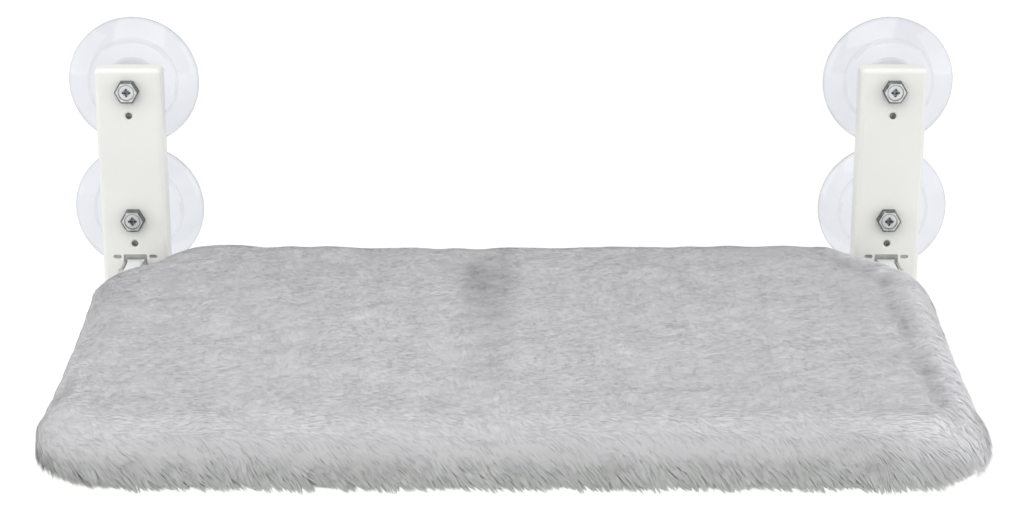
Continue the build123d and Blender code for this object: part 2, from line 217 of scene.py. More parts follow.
class Bench:
    """Adds nodes to one node tree and links them."""

    def __init__(self, tree: bpy.types.NodeTree) -> None:
        """Starts on a tree."""
        self.tree = tree

    def feed(self, socket: bpy.types.NodeSocket, value: Any) -> None:
        """Links an output to a socket, or sets the socket to a value.

        Args:
            socket: The input socket.
            value: An output socket, a number or a colour of three numbers.
        """
        if isinstance(value, bpy.types.NodeSocket):
            self.tree.links.new(value, socket)
        elif socket.type == "RGBA":
            socket.default_value = (*value, 1.0)
        else:
            socket.default_value = value

    def add(self, kind: str, feeds: dict[str | int, Any] | None = None, **settings: Any) -> bpy.types.Node:
        """Adds a shader node.

        Args:
            kind: The node's type without its ShaderNode prefix.
            feeds: What goes to each input, by name or number.
            settings: The node's own properties.

        Returns:
            The new node.
        """
        node = self.tree.nodes.new("ShaderNode" + kind)
        for name, value in settings.items():
            setattr(node, name, value)
        for name, value in (feeds or {}).items():
            self.feed(node.inputs[name], value)
        return node

    def use(self, group: bpy.types.NodeTree, **feeds: Any) -> bpy.types.Node:
        """Places a shared effect with its own values.

        Args:
            group: The effect's node group.
            feeds: What goes to each input, by name.

        Returns:
            The group's node.
        """
        named = {name.replace("_", " "): value for name, value in feeds.items()}
        return self.add("Group", named, node_tree=group)

    def math(self, operation: str, *terms: Any) -> bpy.types.NodeSocket:
        """Adds a Math node.

        Args:
            operation: The node's operation.
            terms: Its values or linked outputs, in order.

        Returns:
            The node's output.
        """
        return self.add("Math", dict(enumerate(terms)), operation=operation).outputs[0]

    def blend(self, share: Any, first: Any, second: Any) -> bpy.types.NodeSocket:
        """Mixes two colours.

        Args:
            share: How much of the second colour shows, from 0 to 1.
            first: The first colour or output.
            second: The second colour or output.

        Returns:
            The mixed colour's output.
        """
        return self.add("Mix", {0: share, 6: first, 7: second}, data_type="RGBA").outputs[2]

    def rise(
        self, value: Any, low: float, high: float, start: float = 0.0, end: float = 1.0
    ) -> bpy.types.NodeSocket:
        """A smooth rise between two limits.

        Args:
            value: The output that is read.
            low: Where the rise starts.
            high: Where it ends.
            start: The result up to low.
            end: The result from high on.

        Returns:
            The result's output.
        """
        feeds = {"Value": value, "From Min": low, "From Max": high, "To Min": start, "To Max": end}
        return self.add("MapRange", feeds, interpolation_type="SMOOTHSTEP").outputs["Result"]

    def here(self) -> bpy.types.NodeSocket:
        """The place on the piece, in metres of the row frame."""
        return self.add("TexCoord").outputs["Object"]

    def place(self) -> Any:
        """The place on the piece as outputs X, Y and Z."""
        return self.add("SeparateXYZ", {"Vector": self.here()}).outputs

    def facing(self) -> Any:
        """The way that the surface faces as outputs X, Y and Z."""
        return self.add("SeparateXYZ", {"Vector": self.add("NewGeometry").outputs["Normal"]}).outputs

    def beyond(self, coordinate: Any, distance: float) -> bpy.types.NodeSocket:
        """How far a coordinate lies beyond a distance to either side of the middle."""
        return self.math("SUBTRACT", self.math("ABSOLUTE", coordinate), distance)

    def radius(self, across: Any, along: Any) -> bpy.types.NodeSocket:
        """The distance from an axis, from the two distances square to it."""
        square = self.math("ADD", self.math("MULTIPLY", across, across), self.math("MULTIPLY", along, along))
        return self.math("SQRT", square)

    def surface(
        self, shader: bpy.types.Node, tone: Any, rough: Any, height: Any, depth: float, strength: float = 1.0
    ) -> None:
        """Feeds a shader its colour, roughness and relief.

        Args:
            shader: The Principled shader.
            tone: The colour.
            rough: The roughness.
            height: The relief's height.
            depth: How deep the relief is, in metres.
            strength: How much of the relief shows.
        """
        bump = self.add("Bump", {"Height": height, "Distance": depth, "Strength": strength})
        self.feed(shader.inputs["Base Color"], tone)
        self.feed(shader.inputs["Roughness"], rough)
        self.feed(shader.inputs["Normal"], bump.outputs["Normal"])


Fill = Callable[[Bench, Any], dict[str, Any]]


def new_group(
    name: str, inputs: dict[str, tuple[str, Any]], outputs: dict[str, str], fill: Fill
) -> bpy.types.NodeTree:
    """Builds a shared effect as a node group.

    Args:
        name: The group's name.
        inputs: For each input its socket type and default.
        outputs: For each output its socket type.
        fill: Called with the bench and the group's input sockets, it returns what feeds each output.

    Returns:
        The finished group.
    """
    group = bpy.data.node_groups.new(name, "ShaderNodeTree")
    for label, (kind, default) in inputs.items():
        group.interface.new_socket(name=label, in_out="INPUT", socket_type=kind).default_value = default
    for label, kind in outputs.items():
        group.interface.new_socket(name=label, in_out="OUTPUT", socket_type=kind)
    source, sink = group.nodes.new("NodeGroupInput"), group.nodes.new("NodeGroupOutput")
    for label, output in fill(Bench(group), source.outputs).items():
        group.links.new(output, sink.inputs[label])
    return group


class Effects:
    """The node groups that more than one finish uses, each built once."""

    def __init__(self) -> None:
        """Builds the groups."""
        white = (1.0, 1.0, 1.0, 1.0)
        self.uneven_tone = new_group(
            "uneven_tone",
            {"Tone": (COLOUR, white), "Scale": (FLOAT, 40.0), "Amount": (FLOAT, 0.05)},
            {"Tone": COLOUR},
            self.fill_uneven_tone,
        )
        self.fine_grain = new_group(
            "fine_grain",
            {"Scale": (FLOAT, 900.0), "Rough": (FLOAT, 0.5), "Spread": (FLOAT, 0.1)},
            {"Height": FLOAT, "Rough": FLOAT},
            self.fill_fine_grain,
        )
        self.painted_shade = new_group(
            "painted_shade",
            {"Tone": (COLOUR, white), "Soil": (COLOUR, (0.1, 0.1, 0.1, 1.0)), "Mask": (FLOAT, 0.0)},
            {"Tone": COLOUR},
            self.fill_painted_shade,
        )
        self.woven = new_group(
            "woven", {"Pitch": (FLOAT, 0.0008)}, {"Height": FLOAT, "Thread": FLOAT}, self.fill_woven
        )
        self.pile_tone = new_group(
            "pile_tone",
            {"Crown": (COLOUR, white), "Edge": (COLOUR, white), "Foot": (COLOUR, white)},
            {"Tone": COLOUR},
            self.fill_pile_tone,
        )

    @staticmethod
    def fill_uneven_tone(bench: Bench, source: Any) -> dict[str, Any]:
        """Lightens and darkens a colour by slow noise.

        Args:
            bench: The group's bench.
            source: The group's inputs.

        Returns:
            What feeds each output.
        """
        noise = bench.add("TexNoise", {"Vector": bench.here(), "Scale": source["Scale"], "Detail": 3.0})
        swing = bench.math("MULTIPLY", bench.math("SUBTRACT", noise.outputs["Fac"], 0.5), source["Amount"])
        lift = bench.math("MULTIPLY_ADD", swing, 4.0, 1.0)
        return {"Tone": bench.add("HueSaturation", {"Value": lift, "Color": source["Tone"]}).outputs[0]}

    @staticmethod
    def fill_fine_grain(bench: Bench, source: Any) -> dict[str, Any]:
        """Fine relief and uneven roughness.

        Args:
            bench: The group's bench.
            source: The group's inputs.

        Returns:
            What feeds each output.
        """
        noise = bench.add("TexNoise", {"Vector": bench.here(), "Scale": source["Scale"], "Detail": 2.0})
        swing = bench.math("SUBTRACT", noise.outputs["Fac"], 0.5)
        rough = bench.math("MULTIPLY_ADD", swing, source["Spread"], source["Rough"])
        return {"Height": noise.outputs["Fac"], "Rough": rough}

    @staticmethod
    def fill_painted_shade(bench: Bench, source: Any) -> dict[str, Any]:
        """Lays painted shade: a darker tone where a mask says, broken up by noise.

        Args:
            bench: The group's bench.
            source: The group's inputs.

        Returns:
            What feeds each output.
        """
        noise = bench.add("TexNoise", {"Vector": bench.here(), "Scale": 700.0, "Detail": 3.0})
        broken = bench.math("MULTIPLY", source["Mask"], bench.rise(noise.outputs["Fac"], 0.2, 0.6, 0.7, 1.0))
        return {"Tone": bench.blend(broken, source["Tone"], source["Soil"])}

    @staticmethod
    def fill_woven(bench: Bench, source: Any) -> dict[str, Any]:
        """Plain weave: warp and weft that pass over each other.

        Args:
            bench: The group's bench.
            source: The group's inputs.

        Returns:
            What feeds each output.
        """
        place = bench.place()
        turn = bench.math("DIVIDE", math.pi, source["Pitch"])
        warp = bench.math("SINE", bench.math("MULTIPLY", place["X"], turn))
        weft = bench.math("SINE", bench.math("MULTIPLY", place["Y"], turn))
        over = bench.math("MULTIPLY", warp, weft)
        height = bench.math("ADD", bench.math("ABSOLUTE", warp), bench.math("MULTIPLY", over, 0.5))
        return {"Height": height, "Thread": bench.rise(over, -0.6, 0.6)}

    @staticmethod
    def fill_pile_tone(bench: Bench, source: Any) -> dict[str, Any]:
        """The pile's colour by height: painted shade that dulls it down the edges, a painted greenish tone at
        the foot, uneven where it was brushed.

        Args:
            bench: The group's bench.
            source: The group's inputs.

        Returns:
            What feeds each output.
        """
        here = bench.here()
        height = bench.add("SeparateXYZ", {"Vector": here}).outputs["Z"]
        tone = bench.blend(bench.rise(height, *CROWN_TO_EDGE_Z), source["Crown"], source["Edge"])
        tone = bench.blend(bench.rise(height, *EDGE_TO_FOOT_Z), tone, source["Foot"])
        patches = bench.add("TexNoise", {"Vector": here, "Scale": 26.0, "Detail": 4.0}).outputs["Fac"]
        strokes = bench.add("TexNoise", {"Vector": here, "Scale": 190.0, "Detail": 2.0}).outputs["Fac"]
        swing = bench.math("MULTIPLY_ADD", bench.math("SUBTRACT", patches, 0.5), 0.05, 1.0)
        swing = bench.math("ADD", swing, bench.math("MULTIPLY", bench.math("SUBTRACT", strokes, 0.5), 0.03))
        return {"Tone": bench.add("HueSaturation", {"Value": swing, "Color": tone}).outputs[0]}


def new_material(name: str) -> tuple[bpy.types.Material, Bench, bpy.types.Node]:
    """Starts a material with its shader.

    Args:
        name: The material's name.

    Returns:
        The material, a bench on its nodes, and its Principled shader.
    """
    material = bpy.data.materials.new(name)
    material.use_nodes = True
    shader = material.node_tree.nodes["Principled BSDF"]
    return material, Bench(material.node_tree), shader


@dataclass(frozen=True)
class PowderCoat:
    """White powder coat with a faint orange peel. In and round its spare holes it is darkened nearly to
    black: painted shade, which also stands for the holes' bare thread.
    """

    name: str
    colour: Colour
    spare_holes: tuple[tuple[float, float], ...] = ()
    hole_shade_colour: Colour = (0.07, 0.075, 0.07)
    rough: float = 0.46
    peel: float = 0.00006
    hole_radius: float = 0.00165
    hole_shade_reach: float = 0.0006
    hole_shade_edge: float = 0.0001

    def make(self, effects: Effects) -> bpy.types.Material:
        """Builds the material.

        Args:
            effects: The shared node groups.

        Returns:
            The material.
        """
        material, bench, shader = new_material(self.name)
        tone = bench.use(effects.uneven_tone, Tone=self.colour, Scale=22.0, Amount=0.025)
        outside, inside = self.hole_radius + self.hole_shade_reach, self.hole_radius + self.hole_shade_edge
        # Painted shade: each spare hole's wall and a ring of coat round it are darkened, as the dark seen in
        # the holes.
        for column_x, row_z in self.spare_holes:
            place = bench.place()
            along = bench.math("SUBTRACT", place["Z"], row_z)
            thread = bench.rise(bench.radius(bench.beyond(place["X"], column_x), along), outside, inside)
            tone = bench.use(effects.painted_shade, Tone=tone.outputs["Tone"], Soil=self.hole_shade_colour, Mask=thread)
        grain = bench.use(effects.fine_grain, Scale=1500.0, Rough=self.rough, Spread=0.14).outputs
        bench.surface(shader, tone.outputs["Tone"], grain["Rough"], grain["Height"], self.peel, 0.35)
        return material


@dataclass(frozen=True)
class PlatedSteel:
    """Zinc plated steel. Where it is a bolt head, painted dark reflections lie on its flats, its bevel and
    its dish's wall, and painted shade in its recess.
    """

    name: str
    colour: Colour
    rough: float
    bolt: bool = False
    reflection_shade_colour: Colour = (0.05, 0.055, 0.055)
    column_x: float = COLUMN_X
    row_z: float = ROW_Z
    plating_relief: float = 0.00003
    wall_facing: Limits = (0.94, 0.60)
    bevel_start: float = 0.0054
    bevel_fade: float = 0.0004
    bevel_reflection: float = 0.85
    dish_radius: float = 0.0047
    dish_fade: Limits = (0.0006, 0.0002)
    dish_reflection: float = 0.5
    recess_radius: float = 0.0021
    recess_fade: float = 0.0006
    recess_shade: float = 0.8

    def make(self, effects: Effects) -> bpy.types.Material:
        """Builds the material.

        Args:
            effects: The shared node groups.

        Returns:
            The material.
        """
        material, bench, shader = new_material(self.name)
        tone = bench.use(effects.uneven_tone, Tone=self.colour, Scale=160.0, Amount=0.10).outputs["Tone"]
        grain = bench.use(effects.fine_grain, Scale=2600.0, Rough=self.rough, Spread=0.25).outputs
        if self.bolt:
            # Painted dark reflections and shade on the bolt head.
            mask = self.painted_reflections(bench)
            tone = bench.use(effects.painted_shade, Tone=tone, Soil=self.reflection_shade_colour, Mask=mask).outputs["Tone"]
        bench.surface(shader, tone, grain["Rough"], grain["Height"], self.plating_relief, 0.4)
        shader.inputs["Metallic"].default_value = 1.0
        return material

    def painted_reflections(self, bench: Bench) -> bpy.types.NodeSocket:
        """Where a bolt head gets painted dark reflections, on its flats, its hexagon's edge and its dish's
        wall, and painted shade, in its recess.

        Args:
            bench: The material's bench.

        Returns:
            The mask.
        """
        wall = bench.rise(bench.math("ABSOLUTE", bench.facing()["Y"]), *self.wall_facing)
        place = bench.place()
        across = bench.math("ABSOLUTE", bench.beyond(place["X"], self.column_x))
        along = bench.math("ABSOLUTE", bench.beyond(place["Z"], self.row_z))
        turn = math.radians(30)
        half_along = bench.math("MULTIPLY", along, math.sin(turn))
        slanted = bench.math("MULTIPLY_ADD", across, math.cos(turn), half_along)
        hexagon = bench.math("MAXIMUM", along, slanted)
        bevel_end = self.bevel_start + self.bevel_fade
        bevel = bench.rise(hexagon, self.bevel_start, bevel_end, 0.0, self.bevel_reflection)
        radius = bench.radius(across, along)
        off_dish = bench.math("ABSOLUTE", bench.math("SUBTRACT", radius, self.dish_radius))
        dish = bench.rise(off_dish, *self.dish_fade, 0.0, self.dish_reflection)
        outside, inside = self.recess_radius + self.recess_fade, self.recess_radius - self.recess_fade
        recess = bench.rise(radius, outside, inside, 0.0, self.recess_shade)
        return bench.math("MAXIMUM", bench.math("MAXIMUM", wall, bevel), bench.math("MAXIMUM", dish, recess))


@dataclass(frozen=True)
class ClearVinyl:
    """Clear soft PVC, faintly violet, with painted grey rings at the lip, the step and the boss that stand in
    for the dark edges that refraction shows there.
    """

    name: str
    column_x: float = COLUMN_X
    row_z: float = ROW_Z
    colour: Colour = (0.775, 0.795, 0.835)
    refraction_shade_colour: Colour = (0.56, 0.575, 0.60)
    rough: float = 0.07
    refraction: float = 1.5
    relief: float = 0.0001
    lip_radius: float = 0.0400
    lip_fade: Limits = (0.0011, 0.0003)
    lip_grey: float = 0.8
    ring_radius: float = 0.0268
    ring_fade: Limits = (0.0010, 0.0003)
    ring_grey: float = 0.45
    boss_radius: float = 0.0155
    boss_fade: float = 0.0004
    boss_grey: float = 0.75
    spare_drop: float = SPARE_DROP
    shaded_out: float = 0.0037
    shaded_down: float = 0.0062
    shaded_radius: float = 0.0042
    shaded_fade: float = 0.0008
    shaded_colour: Colour = (0.10, 0.10, 0.10)

    def make(self, effects: Effects) -> bpy.types.Material:
        """Builds the material.

        Args:
            effects: The shared node groups.

        Returns:
            The material.
        """
        material, bench, shader = new_material(self.name)
        tone = bench.use(effects.uneven_tone, Tone=self.colour, Scale=26.0, Amount=0.05).outputs["Tone"]
        place = bench.place()
        radius = bench.radius(bench.beyond(place["X"], self.column_x), bench.beyond(place["Z"], self.row_z))
        lip_start, lip_end = (self.lip_radius - fade for fade in self.lip_fade)
        lip = bench.rise(radius, lip_start, lip_end, 0.0, self.lip_grey)
        off_ring = bench.math("ABSOLUTE", bench.math("SUBTRACT", radius, self.ring_radius))
        ring = bench.rise(off_ring, *self.ring_fade, 0.0, self.ring_grey)
        outside, inside = self.boss_radius + self.boss_fade, self.boss_radius - self.boss_fade
        boss = bench.rise(radius, outside, inside, 0.0, self.boss_grey)
        # Painted shade: grey rings where the clear vinyl's refraction darkens it.
        refraction_rings = bench.math("MAXIMUM", bench.math("MAXIMUM", lip, ring), boss)
        tone = bench.use(effects.painted_shade, Tone=tone, Soil=self.refraction_shade_colour, Mask=refraction_rings).outputs["Tone"]
        tone = bench.use(effects.painted_shade, Tone=tone, Soil=self.shaded_colour, Mask=self.shaded(bench))
        grain = bench.use(effects.fine_grain, Scale=260.0, Rough=self.rough, Spread=0.05).outputs
        bench.surface(shader, tone.outputs["Tone"], grain["Rough"], grain["Height"], self.relief, 0.25)
        shader.inputs["Transmission Weight"].default_value = 1.0
        shader.inputs["IOR"].default_value = self.refraction
        return material

    def shaded(self, bench: Bench) -> bpy.types.NodeSocket:
        """Where a cup lies in the dark behind its bracket's spare hole.

        Args:
            bench: The material's bench.

        Returns:
            The mask.
        """
        place = bench.place()
        across = bench.beyond(place["X"], self.column_x + self.shaded_out)
        masks = []
        for row_z in (self.row_z, -self.row_z):
            along = bench.math("SUBTRACT", place["Z"], row_z - self.spare_drop - self.shaded_down)
            radius = bench.radius(across, along)
            masks.append(bench.rise(radius, self.shaded_radius, self.shaded_radius - self.shaded_fade))
        return bench.math("MAXIMUM", *masks)


@dataclass(frozen=True)
class Moulded:
    """Matte stuff with an even grain, such as nylon or sewing thread."""

    name: str
    colour: Colour
    rough: float
    grain_scale: float
    grain_depth: float
    unevenness: float

    def make(self, effects: Effects) -> bpy.types.Material:
        """Builds the material.

        Args:
            effects: The shared node groups.

        Returns:
            The material.
        """
        material, bench, shader = new_material(self.name)
        tone = bench.use(effects.uneven_tone, Tone=self.colour, Scale=60.0, Amount=self.unevenness)
        grain = bench.use(effects.fine_grain, Scale=self.grain_scale, Rough=self.rough, Spread=0.12).outputs
        bench.surface(shader, tone.outputs["Tone"], grain["Rough"], grain["Height"], self.grain_depth)
        return material


@dataclass(frozen=True)
class OpenCellFoam:
    """Open cell foam: pale, faintly yellowed, with fine pores that are darkened with painted shade."""

    name: str
    colour: Colour
    pore_shade_colour: Colour
    pores_per_metre: float = 900.0
    pore_wall: Limits = (0.10, 0.55)
    pore_depth: float = 0.0005

    def make(self, effects: Effects) -> bpy.types.Material:
        """Builds the material.

        Args:
            effects: The shared node groups.

        Returns:
            The material.
        """
        material, bench, shader = new_material(self.name)
        cells = bench.add("TexVoronoi", {"Vector": bench.here(), "Scale": self.pores_per_metre})
        wall = bench.rise(cells.outputs["Distance"], *self.pore_wall)
        solid = bench.use(effects.uneven_tone, Tone=self.colour, Scale=18.0, Amount=0.05).outputs["Tone"]
        # Painted shade: the pores are darker than the cell walls.
        tone = bench.blend(wall, self.pore_shade_colour, solid)
        grain = bench.use(effects.fine_grain, Scale=1400.0, Rough=0.93, Spread=0.1).outputs
        bench.surface(shader, tone, grain["Rough"], wall, self.pore_depth, 0.7)
        shader.inputs["Specular IOR Level"].default_value = 0.2
        return material


@dataclass(frozen=True)
class SawnPlywood:
    """Birch plywood: long fine grain on its faces and layers on its sawn edge."""

    name: str
    colour: Colour
    grain_colour: Colour
    edge_colour: Colour
    ply_thickness: float = 0.0013
    fibre_stretch: tuple[float, float, float] = (4.0, 90.0, 90.0)
    fibre_relief: float = 0.0002
    figure: Limits = (0.38, 0.66)
    layer_fade: Limits = (-0.3, 0.3)
    edge_facing: Limits = (0.7, 0.3)

    def make(self, effects: Effects) -> bpy.types.Material:
        """Builds the material.

        Args:
            effects: The shared node groups.

        Returns:
            The material.
        """
        material, bench, shader = new_material(self.name)
        stretch = bench.add("Mapping", {"Vector": bench.here(), "Scale": self.fibre_stretch})
        feeds = {"Vector": stretch.outputs[0], "Scale": 6.0, "Detail": 6.0, "Distortion": 0.6}
        fibres = bench.add("TexNoise", feeds).outputs["Fac"]
        face = bench.blend(bench.rise(fibres, *self.figure), self.colour, self.grain_colour)
        turns = bench.math("MULTIPLY", bench.place()["Z"], math.pi / self.ply_thickness)
        layers = bench.rise(bench.math("SINE", turns), *self.layer_fade)
        edge = bench.blend(layers, self.grain_colour, self.edge_colour)
        sawn = bench.rise(bench.math("ABSOLUTE", bench.facing()["Z"]), *self.edge_facing)
        tone = bench.use(effects.uneven_tone, Tone=bench.blend(sawn, face, edge), Scale=14.0, Amount=0.06)
        grain = bench.use(effects.fine_grain, Scale=700.0, Rough=0.68, Spread=0.2).outputs
        bench.surface(shader, tone.outputs["Tone"], grain["Rough"], fibres, self.fibre_relief, 0.4)
        return material


@dataclass(frozen=True)
class Woven:
    """Plain woven cloth, with painted shade where its threads sink under each other."""

    name: str
    colour: Colour
    sunken_shade_colour: Colour
    pitch: float
    rough: float = 0.9
    relief_share: float = 1 / 6

    def make(self, effects: Effects) -> bpy.types.Material:
        """Builds the material.

        Args:
            effects: The shared node groups.

        Returns:
            The material.
        """
        material, bench, shader = new_material(self.name)
        weave = bench.use(effects.woven, Pitch=self.pitch).outputs
        # Painted shade: darker where the weave is low.
        threads = bench.blend(weave["Thread"], self.sunken_shade_colour, self.colour)
        tone = bench.use(effects.uneven_tone, Tone=threads, Scale=35.0, Amount=0.06)
        relief = self.pitch * self.relief_share
        bench.surface(shader, tone.outputs["Tone"], self.rough, weave["Height"], relief)
        shader.inputs["Sheen Weight"].default_value = 0.1
        return material


@dataclass(frozen=True)
class Plush:
    """Short plush. The pile's strands and the cloth between them share it, with other colours. Its edge and
    foot colours and its shade attribute carry painted light and shade.
    """

    name: str
    crown: Colour
    edge: Colour
    foot: Colour
    strand_relief: float = 0.0001

    def make(self, effects: Effects) -> bpy.types.Material:
        """Builds the material.

        Args:
            effects: The shared node groups.

        Returns:
            The material.
        """
        material, bench, shader = new_material(self.name)
        # The shade attribute carries painted light and shade of the nap, the crease and the right rim, plus a
        # random spread.
        shade = bench.add("Attribute", attribute_name="shade").outputs["Fac"]
        tone = bench.use(effects.pile_tone, Crown=self.crown, Edge=self.edge, Foot=self.foot).outputs["Tone"]
        lift = bench.math("ADD", shade, 1.0)
        tuft = bench.add("HueSaturation", {"Value": lift, "Color": tone}).outputs[0]
        grain = bench.use(effects.fine_grain, Scale=1100.0, Rough=0.93, Spread=0.1).outputs
        bench.surface(shader, tuft, grain["Rough"], grain["Height"], self.strand_relief, 0.3)
        shader.inputs["Specular IOR Level"].default_value = 0.15
        return material


@dataclass(frozen=True)
class Lamp:
    """A square soft lamp."""

    name: str
    place: tuple[float, float, float]
    size: float
    watts: float

    def add(self, target: Sequence[float]) -> None:
        """Puts the lamp in its place.

        Args:
            target: The point that it faces.
        """
        data = bpy.data.lights.new(self.name, "AREA")
        data.size = self.size
        data.energy = self.watts
        lamp = bpy.data.objects.new(self.name, data)
        lamp.location = self.place
        lamp.rotation_euler = (Vector(target) - Vector(self.place)).to_track_quat("-Z", "Y").to_euler()
        bpy.context.scene.collection.objects.link(lamp)


@dataclass
class Studio:
    """Camera, lamps, surroundings and floor."""

    eye: tuple[float, float, float] = (0.0007, -1.430, 0.369)
    tilt_degrees: float = 72.83
    lens: float = 83.3
    lit_point: tuple[float, float, float] = (0.0, -0.15, -0.05)
    lamps: tuple[Lamp, ...] = (
        Lamp("key", (-0.15, -1.15, 1.3), 1.6, 9.5),
        Lamp("fill", (-1.55, -0.65, 0.45), 1.2, 5.5),
        Lamp("fill", (1.55, -0.65, 0.45), 1.2, 5.5),
    )
    floor_z: float = -3.5
    floor_reach: float = 45.0
    floor_colour: Colour = (0.82, 0.82, 0.82)
    floor_rough: float = 0.9
    floor_lift: float = 0.34
    ambient: float = 0.87
    white: float = 1.0
    room_glow: float = 0.38
    room_to_window: Limits = (-0.45, 0.10)

    def add_camera(self) -> None:
        """Places the camera where the photograph was taken from."""
        data = bpy.data.cameras.new("camera")
        data.lens = self.lens
        camera = bpy.data.objects.new("camera", data)
        camera.location = self.eye
        camera.rotation_euler = (math.radians(self.tilt_degrees), 0.0, 0.0)
        bpy.context.scene.collection.objects.link(camera)
        bpy.context.scene.camera = camera

    @staticmethod
    def mirrored_rays(bench: Bench) -> bpy.types.NodeSocket:
        """Where a ray comes by a reflection or through glass."""
        path = bench.add("LightPath").outputs
        return bench.math("MAXIMUM", path["Is Glossy Ray"], path["Is Transmission Ray"])

    def add_world(self) -> None:
        """Surrounds the object with white to the eye and plain soft light to the object.

        Clear parts show white behind them. Mirrors show white behind the pane and a dimmer room before it.
        """
        world = bpy.data.worlds.new("studio")
        world.use_nodes = True
        bpy.context.scene.world = world
        bench = Bench(world.node_tree)
        background = world.node_tree.nodes["Background"]
        way = bench.add("SeparateXYZ", {"Vector": bench.add("TexCoord").outputs["Generated"]}).outputs["Y"]
        through = bench.add("LightPath").outputs["Is Transmission Ray"]
        mirrored = bench.rise(way, *self.room_to_window, self.room_glow, self.white)
        backdrop = bench.math("MAXIMUM", through, mirrored)
        lit = bench.add("Mix", {0: self.mirrored_rays(bench), 2: self.ambient, 3: backdrop}).outputs[0]
        seen = bench.add("LightPath").outputs["Is Camera Ray"]
        strength = bench.add("Mix", {0: seen, 2: lit, 3: self.white}).outputs[0]
        bench.feed(background.inputs["Color"], (1.0, 1.0, 1.0))
        bench.feed(background.inputs["Strength"], strength)

    def add_floor(self) -> None:
        """Lays a plain white floor that keeps the object's shadow."""
        reach = self.floor_reach
        plan = [(-reach, -reach), (reach, -reach), (reach, reach), (-reach, reach)]
        corners = np.array([(x, y, self.floor_z) for x, y in plan])
        floor = mesh_piece("floor", corners, [(0, 1, 2, 3)], False)
        material, bench, shader = new_material("floor_paint")
        bench.feed(shader.inputs["Base Color"], self.floor_colour)
        shader.inputs["Roughness"].default_value = self.floor_rough
        direct = bench.add("LightPath").outputs["Is Camera Ray"]
        seen = bench.math("MAXIMUM", self.mirrored_rays(bench), direct)
        glow = bench.add("Emission", {"Strength": bench.math("MULTIPLY", seen, self.floor_lift)})
        both = bench.add("AddShader", {0: shader.outputs[0], 1: glow.outputs[0]})
        output = material.node_tree.nodes["Material Output"]
        bench.feed(output.inputs["Surface"], both.outputs[0])
        dress(floor, material)

    def set_up(self) -> None:
        """Builds the whole studio."""
        self.add_camera()
        self.add_world()
        self.add_floor()
        for lamp in self.lamps:
            lamp.add(self.lit_point)
        bpy.context.scene.view_settings.view_transform = "Standard"


